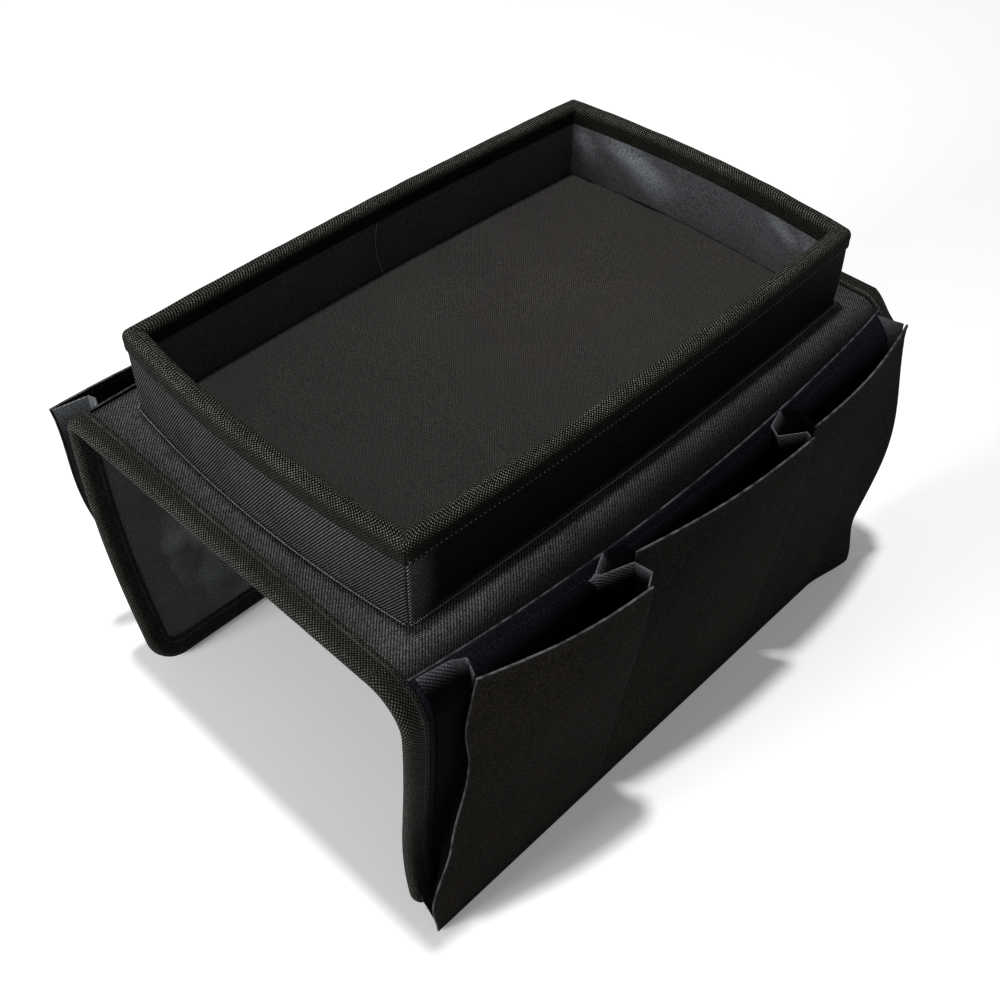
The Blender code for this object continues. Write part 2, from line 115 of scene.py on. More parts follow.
# Pocket rows
pocket_row_half = saddle_half_length - 0.015
pocket_cloth = 0.0006
back_middle = half_sandwich + layer_gap + pocket_cloth / 2
back_face = back_middle + pocket_cloth / 2
pocket_front_thickness = 0.001
pocket_mouth_depth = 0.0218
pocket_mouth_drop = 0.008
pocket_mouth_bulge = 0.0035
pocket_belly = 0.003
pocket_free_edge_flare = 0.0065
pocket_edge_gap = 0.0002
pocket_seam_gap = 0.0024
pocket_toe_reach = 0.0101
pocket_toe_lip = 0.004
toe_middle = half_sandwich + pocket_toe_reach - pocket_front_thickness / 2
base_middle = toe_middle - pocket_front_thickness / 2 - layer_gap - pocket_cloth / 2
gusset_fold_depth = 0.014
gusset_foot_fold = 0.003
gusset_edge_inset = 0.0008
gusset_edge_gap = 0.0005
back_hem_share = 0.58
back_hem_rise_share = 0.48
base_seam_share = 0.35

# One side of the saddle, with the same meanings as in the part
Side = namedtuple(
    "Side",
    "name sign fold_reach fold_radius lean bow bow_skew "
    "hem_height hem_corner_radius run gap_shares fold_shares",
)
right_side = Side(
    name="right",
    sign=1,
    fold_reach=0.0939,
    fold_radius=0.020,
    lean=math.radians(0),
    bow=-0.005,
    bow_skew=1.9,
    hem_height=0.0061,
    hem_corner_radius=0.012,
    run=1,
    gap_shares=((0.17, 1.0), (0.23, 0.79), (0.62, 0.12)),
    fold_shares=((0.9, 1.0), (0.25, 1.0), (0.25, 0.0)),
)
left_side = Side(
    name="left",
    sign=-1,
    fold_reach=0.098,
    fold_radius=0.007,
    lean=math.radians(8),
    bow=0.010,
    bow_skew=1.0,
    hem_height=0.0,
    hem_corner_radius=0.017,
    run=-1,
    gap_shares=((0.5, 1.0), (0.4, 0.79), (0.75, 1.1)),
    fold_shares=((0.9, 1.0), (0.25, 1.0), (0.25, 0.8)),
)
sides = (right_side, left_side)
top_left, top_right = -left_side.fold_reach, right_side.fold_reach
pocket_seam_shares = ((-1.016, -0.364), (-0.364, 0.43), (0.43, 1.0))
pocket_mouth_shares = ((-0.886, -0.356), (-0.296, 0.414), (0.452, 1.07))
pocket_foot_shares = ((-1.077, -0.407), (-0.407, 0.34), (0.34, 0.929))
# The folds at the two ends of each pocket's mouth: how far across the gusset, how deep into the pocket
start_gusset_shares = (
    ((0.0, 0.0), (0.2, 0.92), (0.45, 1.0), (1.0, 0.0)),
    ((0.0, 0.0), (0.35, 1.0), (1.0, 0.0)),
    ((0.0, 0.0), (0.35, 1.0), (1.0, 0.0)),
)
end_gusset_shares = (
    ((0.0, 0.0), (0.26, 0.88), (0.5, -0.38), (0.85, -0.46), (1.0, 0.0)),
    ((0.0, 0.0), (0.18, 0.76), (0.47, 0.9), (0.86, -0.05), (1.0, 0.0)),
    ((0.0, 0.0), (0.3, 1.0), (0.62, -0.12), (1.0, 0.0)),
)
left_end_gusset_shares = ((0.0, 0.0), (0.4, 0.75), (0.72, 1.1), (1.0, 0.0))

# Soft folds of the tray's lining: start, end, half width, depth, and how much painted highlight lies along
# them
lining_folds = (
    (Vector((-0.080, 0.135, 0.040)), Vector((-0.064, 0.137, 0.010)), 0.009, 0.0016, 0.7),
    (Vector((-0.066, 0.137, 0.042)), Vector((-0.010, 0.140, 0.008)), 0.013, 0.0026, 1.0),
    (Vector((0.040, 0.139, 0.038)), Vector((0.066, 0.137, 0.022)), 0.007, 0.0014, 0.7),
    (Vector((0.060, 0.138, 0.036)), Vector((0.080, 0.135, 0.024)), 0.007, 0.0008, 0.4),
)

# A UV is zero at a folded free edge, and cloth with no such edge starts this far off
away_from_edge = 1.0

# How far the right fold draws in at its rear end
rear_pinch = 0.0055
rear_pinch_length = 0.024

# Painted light and shade: on the cover's roll, which darkens over an angle, and on the tray's wall and rim;
# and the width of the painted highlight on folded edges
darkest_painted_roll = 0.05
painted_roll_shade_angle = math.radians(38)
darkest_painted_wall = 0.04
painted_wall_shade_reach = 0.016
painted_wall_light = 0.37
painted_rim_light = 0.8
painted_lit_crown_depth = 0.0022
folded_edge_width = 0.0007

# How full the cloths stand, how far their folds rise and stitches press them in, and how wavy they are
cover_fullness = 0.0004
cover_waviness = 0.0003
tape_fullness = 0.00035
tape_dent = 0.00022
tape_waviness = 0.00012
wall_fullness = 0.0004
lining_slack = 0.0004
lining_waviness = 0.0003
rim_fullness = 0.0003
rim_dent = 0.0002
rim_waviness = 0.0002
pad_waviness = 0.00025
pad_bevel = 0.0009
back_hem_fold = 0.0005
back_hem_dent = 0.0001
front_hem_fold = 0.0004
front_hem_dent = 0.0002
front_waviness = 0.0011

# Seams: pitch, length and width of the stitches, and their thread
Seam = namedtuple("Seam", "pitch length width finish")
rim_seam = Seam(0.0024, 0.0010, 0.000448, "thread")
base_seam = Seam(0.0013, 0.0013, 0.000448, "base thread")
lining_seam = Seam(0.0016, 0.0014, 0.00063, "thread")
tape_seam = Seam(0.0024, 0.0013, 0.00042, "dark thread")
hem_seam = Seam(0.0026, 0.0013, 0.000308, "dark thread")
hem_seam_drop = 0.0048

# How finely the cloth is divided
cloth_step = 0.0025
broad_step = 0.005
tape_steps = 26
pad_steps = (72, 116)
weld_distance = 0.00001
smooth_angle = math.radians(50)

# Camera: azimuth, elevation and roll in degrees, and lens and sensor in millimetres
camera_angles = (43.501, 45.557, 1.026)
camera_place = (0.3124, -0.3343, 0.5314)
camera_lens = 45.54
camera_sensor = 36.0

# Floor, and the lamps: name, place, size and power
floor_size = 6.0
floor_height = -0.0006
lamps = (
    ("key light", (-0.24, -0.02, 3.2), 0.22, 64.0),
    ("front light", (-0.25, -1.35, 0.38), 0.5, 19.0),
)
lamp_target = Vector((0.0, 0.0, 0.1))


# Small sums

def mix(start, end, share):
    return start + (end - start) * share


def clamp(value, low=0.0, high=1.0):
    return min(max(value, low), high)


def ease(share):
    """From 0 to 1 with level ends."""
    share = clamp(share)
    return share * share * (3 - 2 * share)


def hump(value, middle, width):
    """A smooth ridge, 1 at its middle and 0 beyond its width."""
    return ease(1 - abs(value - middle) / width)


def ripple(x, y, scale, seed):
    """Slow random waves from -1 to 1, the same on every run."""
    return noise.noise(Vector((x / scale, y / scale, seed)))


def steps_for(length, step=cloth_step):
    return max(int(round(length / step)), 1)


# Geometry of one side: the flat top, the fold's arc, then the flap

def middle_radius(side):
    return side.fold_radius - half_sandwich


def bow_at(side, share):
    return side.bow * math.sin(math.pi * max(share, 0.0) ** side.bow_skew)


def bow_tilt(side, share, length):
    step = 0.01
    return (bow_at(side, share + step) - bow_at(side, share)) / (step * length)


def fold_sweep(side):
    rough_length = saddle_height - side.fold_radius
    return math.pi / 2 + side.lean - math.atan(bow_tilt(side, 0.0, rough_length))


def fold_pinch(side, angle, y):
    """The right fold draws in at its rear end, where its tape turns down sharply."""
    if side.sign < 0:
        return 0.0
    near_rear = ease(1 - (saddle_half_length - y) / rear_pinch_length)
    return rear_pinch * near_rear * math.sin(math.pi * clamp(angle / fold_sweep(side)))


def fold_point(side, angle, offset, y):
    radius = middle_radius(side) + offset - fold_pinch(side, angle, y)
    x = side.fold_reach + radius * math.sin(angle)
    z = -side.fold_radius + radius * math.cos(angle)
    return Vector((side.sign * x, y, z))


def flap_axes(side):
    outward = Vector((side.sign * math.cos(side.lean), 0.0, -math.sin(side.lean)))
    down = Vector((-side.sign * math.sin(side.lean), 0.0, -math.cos(side.lean)))
    return outward, down


def flap_point(side, outward_distance, y, drop):
    outward, down = flap_axes(side)
    place = fold_point(side, fold_sweep(side), 0.0, 0.0)
    return place + outward * outward_distance + down * drop + Vector((0.0, y, 0.0))


def drop_to_height(side, height, outward_distance=0.0):
    start = flap_point(side, outward_distance, 0.0, 0.0).z + saddle_height
    return (start - height) / math.cos(side.lean)


def flap_length(side):
    return drop_to_height(side, side.hem_height + tape_face) + tape_face


def cloth_point(side, offset, y, drop):
    length = flap_length(side)
    share = clamp(drop / length)
    outward, down = flap_axes(side)
    tilt = bow_tilt(side, share, length) if share < 1.0 else 0.0
    normal = (outward - down * tilt).normalized()
    return flap_point(side, bow_at(side, share), y, drop) + normal * offset


def arc_length(side):
    return middle_radius(side) * fold_sweep(side)


def cloth_length(side):
    """From the tray's middle to the hem's outer edge, along the cloth."""
    return side.fold_reach + arc_length(side) + flap_length(side)


def saddle_point(side, offset, y, reach):
    """A point of the cloth by its distance from the tray's middle, measured along the cloth."""
    if reach <= side.fold_reach:
        return Vector((side.sign * reach, y, saddle_middle_z + offset))
    beyond = reach - side.fold_reach
    if beyond <= arc_length(side):
        return fold_point(side, beyond / middle_radius(side), offset, y)
    return cloth_point(side, offset, y, beyond - arc_length(side))


def bend_line(side):
    """Start and end of the fold, between which the cloth bends when the flap swings."""
    start = tray_middle + fold_point(side, 0.0, 0.0, 0.0)
    end = tray_middle + fold_point(side, fold_sweep(side), 0.0, 0.0)
    return start, end


def off_saddle(side, offset, y, reach):
    """A point off the middle of the cloth, and the direction out from there."""
    point = saddle_point(side, offset, y, reach)
    return point, (point - saddle_point(side, 0.0, y, reach)).normalized()


# Making cloth

def sheet_on_grid(name, steps, place, run):
    """A sheet on a grid. Place and run take shares across and along, and give its point and its UV."""
    bpy.ops.object.select_all(action="DESELECT")
    bpy.ops.mesh.primitive_grid_add(x_subdivisions=steps[0], y_subdivisions=steps[1], size=1.0)
    piece = bpy.context.object
    piece.name = name
    mesh = piece.data
    mesh.name = name
    grid_shares = [(vert.co.x + 0.5, vert.co.y + 0.5) for vert in mesh.vertices]
    for vert, shares in zip(mesh.vertices, grid_shares):
        vert.co = tray_middle + place(*shares)
    layer = mesh.uv_layers.active.data
    for loop in mesh.loops:
        layer[loop.index].uv = run(*grid_shares[loop.vertex_index])
    mesh.shade_smooth()
    return piece


def apply_modifier(piece, kind, **settings):
    modifier = piece.modifiers.new(kind.lower(), kind)
    for key, value in settings.items():
        setattr(modifier, key, value)
    bpy.ops.object.modifier_apply(modifier=modifier.name)


def cloth(name, place, steps, thickness, run, ring=False):
    """Cloth of that thickness round a sheet on a grid, joined end to end where it is a ring."""
    piece = sheet_on_grid(name, steps, place, run)
    if ring:
        bpy.ops.object.mode_set(mode="EDIT")
        bpy.ops.mesh.select_all(action="SELECT")
        bpy.ops.mesh.remove_doubles(threshold=weld_distance)
        bpy.ops.object.mode_set(mode="OBJECT")
    apply_modifier(
        piece, "SOLIDIFY", thickness=thickness, offset=0.0, use_even_offset=True, material_offset_rim=1
    )
    bpy.ops.object.shade_smooth_by_angle(angle=smooth_angle)
    return piece


def mark(piece, name, share_at=lambda point: 1.0):
    """Mark each point of a piece, for its material, with a share that depends on its place."""
    marks = piece.data.attributes.new(name, "FLOAT", "POINT")
    for vert in piece.data.vertices:
        marks.data[vert.index].value = share_at(vert.co - tray_middle)


def dress(piece, finish, nodes, edge=None):
    """Give a piece its material and edge material, and hide the solids that it stands for."""
    piece.data.materials.append(materials[finish])
    piece.data.materials.append(materials[edge or finish])
    if nodes:
        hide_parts(*nodes)


def follow(piece, side=None):
    """Let a piece move with the saddle; a piece of a side's fold or flap only has its place baked into its
    mesh.
    """
    if side:
        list(bend_line(side))
        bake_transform(piece)
    else:
        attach(piece, "saddle")


def sew(name, place, total, seam, side=None):
    """A line of stitches, each a small rounded bead along its own direction.

    Place takes a distance along the line, and gives a point and the outward direction.
    """
    ring = [(math.cos(math.radians(60 * k)), math.sin(math.radians(60 * k))) for k in range(6)]
    half = seam.length / 2
    points, faces = [], []
    for number in range(int(total / seam.pitch)):
        run = (number + 0.5) * seam.pitch
        point, outward = place(run)
        direction = (place(run + half)[0] - place(run - half)[0]).normalized()
        sideways = direction.cross(outward).normalized()
        middle, first = tray_middle + point, len(points)
        points.append(middle - direction * half)
        for along in (-0.7, 0.7):
            centre = middle + direction * along * half
            points += [centre + (sideways * a + outward * b) * seam.width / 2 for a, b in ring]
        points.append(middle + direction * half)
        for k in range(6):
            near, beside = first + 1 + k, first + 1 + (k + 1) % 6
            faces.append((first, near, beside))
            faces.append((near, near + 6, beside + 6, beside))
            faces.append((near + 6, first + 13, beside + 6))
    mesh = bpy.data.meshes.new(name)
    mesh.from_pydata(points, [], faces)
    mesh.shade_smooth()
    piece = bpy.data.objects.new(name, mesh)
    bpy.context.scene.collection.objects.link(piece)
    dress(piece, seam.finish, [])
    follow(piece, side)


# Shader nodes

def connect(tree, source, socket):
    """Feed a socket from another socket, or set it to a number or a colour."""
    if isinstance(source, bpy.types.NodeSocket):
        tree.links.new(source, socket)
    else:
        socket.default_value = (*source, 1.0) if isinstance(source, tuple) else source


def add_node(tree, kind, inputs=(), **settings):
    """Add a node, feed its inputs, and give its outputs."""
    node = tree.nodes.new("ShaderNode" + kind)
    for key, value in settings.items():
        setattr(node, key, value)
    for socket, source in dict(inputs).items():
        connect(tree, source, node.inputs[socket])
    return node.outputs


def calculate(tree, operation, first, second=0.0, clamped=False):
    return add_node(tree, "Math", {0: first, 1: second}, operation=operation, use_clamp=clamped)[0]


def multiply(tree, first, second):
    return calculate(tree, "MULTIPLY", first, second)


def blend_values(tree, share, first, second):
    return add_node(tree, "Mix", {"Factor": share, "A": first, "B": second}, data_type="FLOAT")["Result"]


def blend_colours(tree, share, first, second, blend_type="MIX"):
    inputs = {"Factor": share, 6: first, 7: second}
    return add_node(tree, "Mix", inputs, data_type="RGBA", blend_type=blend_type)[2]


def remap(tree, value, low, high, start=0.0, end=1.0):
    inputs = {"Value": value, "From Min": low, "From Max": high, "To Min": start, "To Max": end}
    return add_node(tree, "MapRange", inputs, clamp=True)["Result"]


def separate(tree, vector):
    return add_node(tree, "SeparateXYZ", {0: vector})


def uneven(tree, place, scale, **inputs):
    """Slow random waves around a half."""
    return add_node(tree, "TexNoise", {"Vector": place, "Scale": scale, "Detail": 1.0, **inputs})["Fac"]


def marked(tree, name):
    """The share with which the points of a piece are marked."""
    return add_node(tree, "Attribute", attribute_name=name)["Fac"]


def turns(tree, value, pitch, angle=math.pi):
    """The angle turned along a run of threads, from one thread to the next."""
    return multiply(tree, calculate(tree, "DIVIDE", value, pitch), angle)


def wave(tree, value, pitch):
    """The rounded back of each thread: 0 between threads, 1 on top."""
    return calculate(tree, "ABSOLUTE", calculate(tree, "SINE", turns(tree, value, pitch)))


# Shader node groups

def shader_group(name, inputs, outputs):
    """Turn a function, which works out a group's outputs from its inputs, into that shader node group.

    Inputs are names and starting numbers, None for a vector. Outputs are numbers.
    """
    def build(work_out):
        tree = bpy.data.node_groups.new(name, "ShaderNodeTree")
        for label, value in inputs.items():
            kind = "NodeSocketVector" if value is None else "NodeSocketFloat"
            socket = tree.interface.new_socket(label, in_out="INPUT", socket_type=kind)
            if value is not None:
                socket.default_value = value
        for label in outputs:
            tree.interface.new_socket(label, in_out="OUTPUT", socket_type="NodeSocketFloat")
        given = tree.nodes.new("NodeGroupInput").outputs
        made = tree.nodes.new("NodeGroupOutput").inputs
        for label, result in zip(outputs, work_out(tree, given)):
            connect(tree, result, made[label])
        return tree
    return build


def use_group(tree, group, **values):
    """Place a group in a material. A value's name is its input's, with _ for each space."""
    inputs = {name.replace("_", " "): value for name, value in values.items()}
    return add_node(tree, "Group", inputs, node_tree=group)


@shader_group("weave", {"Cloth": None, "Warp pitch": 0.001, "Weft pitch": 0.001}, ["Height"])
def weave_group(tree, given):
    """Plain weave: warp and weft threads pass over each other by turns."""
    run = separate(tree, given["Cloth"])
    warp_wave = calculate(tree, "SINE", turns(tree, run["X"], given["Warp pitch"]))
    weft_wave = calculate(tree, "SINE", turns(tree, run["Y"], given["Weft pitch"]))
    warp_back = calculate(tree, "ABSOLUTE", warp_wave)
    weft_back = calculate(tree, "ABSOLUTE", weft_wave)
    warp = multiply(tree, warp_back, remap(tree, weft_back, 0.0, 1.0, 0.35, 1.0))
    weft = multiply(tree, weft_back, remap(tree, warp_back, 0.0, 1.0, 0.35, 1.0))
    on_top = remap(tree, multiply(tree, warp_wave, weft_wave), -0.15, 0.15)
    return [blend_values(tree, on_top, weft, warp)]


@shader_group(
    "ribs",
    {"Cloth": None, "Angle": 0.0, "Rib pitch": 0.0015, "Bead pitch": 0.0008, "Bead depth": 0.4},
    ["Height"],
)
def rib_group(tree, given):
    """Ribs that run at an angle to the cloth's length, each beaded by the threads across it."""
    inputs = {"Vector": given["Cloth"], "Angle": given["Angle"]}
    run = separate(tree, add_node(tree, "VectorRotate", inputs, rotation_type="Z_AXIS")[0])
    rib = wave(tree, run["X"], given["Rib pitch"])
    rib_number = calculate(tree, "FLOOR", calculate(tree, "DIVIDE", run["X"], given["Rib pitch"]))
    shift = multiply(tree, rib_number, multiply(tree, given["Bead pitch"], 0.5))
    bead = wave(tree, calculate(tree, "ADD", run["Y"], shift), given["Bead pitch"])
    dip = multiply(tree, calculate(tree, "SUBTRACT", 1.0, bead), given["Bead depth"])
    return [multiply(tree, rib, calculate(tree, "SUBTRACT", 1.0, dip))]


@shader_group("net", {"Cloth": None, "Along pitch": 0.002, "Across pitch": 0.002}, ["Height"])
def net_group(tree, given):
    """Staggered beads, as the threads of a woven tape show them."""
    run = separate(tree, given["Cloth"])
    across = calculate(tree, "COSINE", turns(tree, run["X"], given["Across pitch"], 2 * math.pi))
    along = calculate(tree, "COSINE", turns(tree, run["Y"], given["Along pitch"], 2 * math.pi))
    return [remap(tree, multiply(tree, across, along), -0.1, 0.85)]


@shader_group("folded edge", {"Cloth": None, "Place": None, "Width": 0.0008}, ["Mask"])
def folded_edge_group(tree, given):
    """The narrow bands where cloth folds over at its free edges and the light catches it."""
    run = separate(tree, given["Cloth"])
    near = []
    for axis in ("X", "Y"):
        share = calculate(tree, "DIVIDE", calculate(tree, "ABSOLUTE", run[axis]), given["Width"])
        near.append(calculate(tree, "SUBTRACT", 1.0, share, clamped=True))
    nearest = calculate(tree, "MAXIMUM", multiply(tree, near[0], 0.35), near[1])
    strength = remap(tree, uneven(tree, given["Place"], 220.0), 0.35, 0.65, 0.15, 1.0)
    return [multiply(tree, calculate(tree, "POWER", nearest, 0.6), strength)]


@shader_group("crumple", {"Place": None, "Scale": 20.0, "Stretch": 1.0}, ["Height", "Shade"])
def crumple_group(tree, given):
    """Soft creases of handled cloth: sharp valleys between low pillows."""
    factors = add_node(tree, "CombineXYZ", {"X": given["Stretch"], "Y": 1.0, "Z": 1.0})
    place = add_node(tree, "VectorMath", {0: given["Place"], 1: factors[0]}, operation="MULTIPLY")[0]
    slow = uneven(tree, place, given["Scale"], Detail=2.0, Roughness=0.55, Distortion=0.6)
    crease = calculate(tree, "ABSOLUTE", calculate(tree, "SUBTRACT", slow, 0.5))
    # Shade is the share of painted light: high on some pillows, low on others.
    return [remap(tree, crease, 0.0, 0.22), remap(tree, slow, 0.3, 0.7)]


@shader_group("lint", {"Place": None, "Scale": 900.0, "Amount": 0.1}, ["Mask"])
def lint_group(tree, given):
    """Fibre ends and dust that dark cloth catches."""
    threshold = calculate(tree, "SUBTRACT", 0.75, multiply(tree, given["Amount"], 0.5))
    above = calculate(tree, "SUBTRACT", uneven(tree, given["Place"], given["Scale"]), threshold)
    return [calculate(tree, "MAXIMUM", multiply(tree, above, 12.0), 0.0, clamped=True)]


@shader_group("grain", {"Place": None, "Scale": 1300.0, "Amount": 0.4}, ["Value"])
def grain_group(tree, given):
    """Uneven fibres: how much lighter or darker than its colour the cloth is from one thread to the next."""
    swing = remap(tree, uneven(tree, given["Place"], given["Scale"]), 0.3, 0.7, -1.0, 1.0)
    return [calculate(tree, "ADD", 1.0, multiply(tree, swing, given["Amount"]))]


# Materials

def new_material(name, roughness, specular=0.15):
    """A material, its tree, and its shader's inputs."""
    material = bpy.data.materials.new(name)
    material.use_nodes = True
    shader = material.node_tree.nodes["Principled BSDF"].inputs
    shader["Roughness"].default_value = roughness
    shader["Specular IOR Level"].default_value = specular
    return material, material.node_tree, shader


def coordinates(tree):
    """Where a point is on the cloth, and where it is in the object."""
    return add_node(tree, "UVMap")[0], add_node(tree, "TexCoord")["Object"]


def roughen(tree, place, colour, amount, scale=1300.0):
    """Vary a colour by the grain of the cloth's fibres."""
    grain = use_group(tree, grain_group, Place=place, Amount=amount, Scale=scale)["Value"]
    return blend_colours(tree, 1.0, colour, grain, "MULTIPLY")


def paint_edge_highlight(tree, run, place, colour, edge):
    """Lay the painted highlight of the folded free edges over a cloth's colour."""
    fold = use_group(tree, folded_edge_group, Cloth=run, Place=place, Width=folded_edge_width)
    return blend_colours(tree, fold["Mask"], colour, edge)


def set_bumps(tree, shader, layers):
    """Bumps in turn, coarse first. Each is its height, its strength and its depth in metres."""
    normal = None
    for height, strength, depth in layers:
        inputs = {"Height": height, "Strength": strength, "Distance": depth}
        if normal:
            inputs["Normal"] = normal
        normal = add_node(tree, "Bump", inputs)[0]
    connect(tree, normal, shader["Normal"])


def set_surface(tree, shader, colour, roughness, rise, layers):
    """Set a cloth's colour and bumps, and its roughness, which rises between the threads."""
    connect(tree, colour, shader["Base Color"])
    between = min(roughness + rise, 1.0)
    connect(tree, remap(tree, layers[-1][0], 0.0, 1.0, between, roughness), shader["Roughness"])
    set_bumps(tree, shader, layers)


def woven_material(
    name, thread, gap, lit, roughness, pitches, depth, crumple_depth,
    crumple_scale=14.0, crumple_from=0.0, specular=0.15, edge=None, fold_highlight=None, grain=0.0,
):
    """Plain woven cloth: thread and gap are its colours, lit its painted highlight on the crumple's high
    waves, edge its painted highlight on folded edges, and pitches its warp and weft.
    """
    material, tree, shader = new_material(name, roughness, specular)
    run, place = coordinates(tree)
    weave = use_group(tree, weave_group, Cloth=run, Warp_pitch=pitches[0], Weft_pitch=pitches[1])["Height"]
    crumple = use_group(tree, crumple_group, Place=place, Scale=crumple_scale)
    specks = use_group(tree, lint_group, Place=place, Scale=1500.0, Amount=0.04)["Mask"]
    colour = blend_colours(tree, weave, gap, thread)
    # Painted highlight: the lit colour on the crumple's high waves.
    lit_share = remap(tree, crumple["Shade"], crumple_from, 1.0, 0.0, 0.5)
    colour = blend_colours(tree, lit_share, colour, lit or thread)
    colour = blend_colours(tree, remap(tree, specks, 0.0, 1.0, 0.0, 0.4), colour, lint_colour)
    # Painted highlight along the folds marked on the piece.
    if fold_highlight:
        colour = blend_colours(tree, marked(tree, "fold"), colour, fold_highlight)
    if grain:
        colour = roughen(tree, place, colour, grain)
    if edge:
        colour = paint_edge_highlight(tree, run, place, colour, edge)
    bumps = [(crumple["Height"], 0.5, crumple_depth), (weave, 0.8, depth)]
    set_surface(tree, shader, colour, roughness, 0.15, bumps)
    return material


def thread_material(name, thread, gap, roughness):
    return woven_material(name, thread, gap, None, roughness, (0.0004, 0.0004), 0.0001, 0.0001)


def ribbed_material(
    name, thread, gap, roughness, angle, pitches, depth,
    bead=0.5, specular=0.15, sharpness=1.9, grain=0.4, grain_scale=1300.0,
    edge=None, top=None, top_highlight_reach=0.009, painted_shade=False,
):
    """Ribbed cloth, its ribs at that angle to its length, with beads along each, maybe painted light and
    shade from its marks, and maybe a painted highlight along its top.
    """
    material, tree, shader = new_material(name, roughness, specular)
    run, place = coordinates(tree)
    ribs = use_group(
        tree, rib_group,
        Cloth=run, Angle=math.radians(angle), Rib_pitch=pitches[0], Bead_pitch=pitches[1], Bead_depth=bead,
    )["Height"]
    crumple = use_group(tree, crumple_group, Place=place, Scale=25.0)
    colour = blend_colours(tree, calculate(tree, "POWER", ribs, sharpness), gap, thread)
    # Painted shade on the crumple's low waves.
    colour = blend_colours(tree, crumple["Shade"], blend_colours(tree, 0.3, colour, gap), colour)
    # Painted light and shade: darker towards the gap colour where the piece's marks are low.
    if painted_shade:
        colour = blend_colours(tree, marked(tree, "painted_light"), gap, colour)
    # Painted highlight along the cloth's top, fading downwards.
    if top:
        near_top = remap(tree, separate(tree, run)["Y"], 0.0, top_highlight_reach, 1.0, 0.0)
        lit = multiply(tree, multiply(tree, near_top, near_top), ribs)
        colour = blend_colours(tree, lit, colour, top)
    colour = roughen(tree, place, colour, grain, grain_scale)
    if edge:
        colour = paint_edge_highlight(tree, run, place, colour, edge)
    bumps = [(crumple["Height"], 0.3, 0.0006), (ribs, 0.9, depth)]
    set_surface(tree, shader, colour, roughness, 0.2, bumps)
    return material


def net_material(name, thread, gap, roughness, pitches, depth, crown, painted_leg_light, sharpness=2.6, ridge=None):
    """Binding tape: light beads over dark gaps, with painted shade on its legs so that it is brightest over
    its crown, painted shade where its marks are low, and maybe a painted highlight along its sewn ridge.
    """
    material, tree, shader = new_material(name, roughness, 0.05)
    run, place = coordinates(tree)
    net = use_group(tree, net_group, Cloth=run, Along_pitch=pitches[0], Across_pitch=pitches[1])["Height"]
    crumple = use_group(tree, crumple_group, Place=place, Scale=40.0)
    from_crown = calculate(tree, "ABSOLUTE", separate(tree, run)["X"])
    # Painted shade on the legs, so the tape is brightest over its crown.
    leg = remap(tree, from_crown, crown, crown + 0.0025)
    beads = multiply(tree, net, remap(tree, leg, 0.0, 1.0, 1.0, painted_leg_light))
    colour = blend_colours(tree, calculate(tree, "POWER", beads, sharpness), gap, thread)
    # Painted shade on the crumple's low waves.
    colour = blend_colours(tree, crumple["Shade"], blend_colours(tree, 0.45, colour, gap), colour)
    # Painted highlight along the sewn ridge.
    if ridge:
        off = calculate(tree, "ABSOLUTE", calculate(tree, "SUBTRACT", from_crown, ridge))
        on_ridge = multiply(tree, remap(tree, off, 0.0, 0.0008, 0.42, 0.0), crumple["Shade"])
        colour = blend_colours(tree, on_ridge, colour, thread)
    # Painted light and shade: darker towards the gap colour where the piece's marks are low.
    colour = roughen(tree, place, blend_colours(tree, marked(tree, "painted_light"), gap, colour), 0.6)
    bumps = [(crumple["Height"], 0.3, 0.0004), (net, 0.9, depth)]
    set_surface(tree, shader, colour, roughness, 0.2, bumps)
    return material


def card_material(name):
    """Grey card of the stiffeners, with fibres pressed in one direction."""
    material, tree, shader = new_material(name, 0.9)
    place = add_node(tree, "TexCoord")["Object"]
    fibres = use_group(tree, crumple_group, Place=place, Scale=180.0, Stretch=0.15)
    specks = use_group(tree, lint_group, Place=place, Scale=600.0, Amount=0.2)["Mask"]
    colour = blend_colours(tree, fibres["Shade"], (0.36, 0.31, 0.24), (0.50, 0.45, 0.36))
    connect(tree, blend_colours(tree, specks, colour, (0.16, 0.13, 0.10)), shader["Base Color"])
    set_bumps(tree, shader, [(fibres["Height"], 0.4, 0.0002)])
    return material


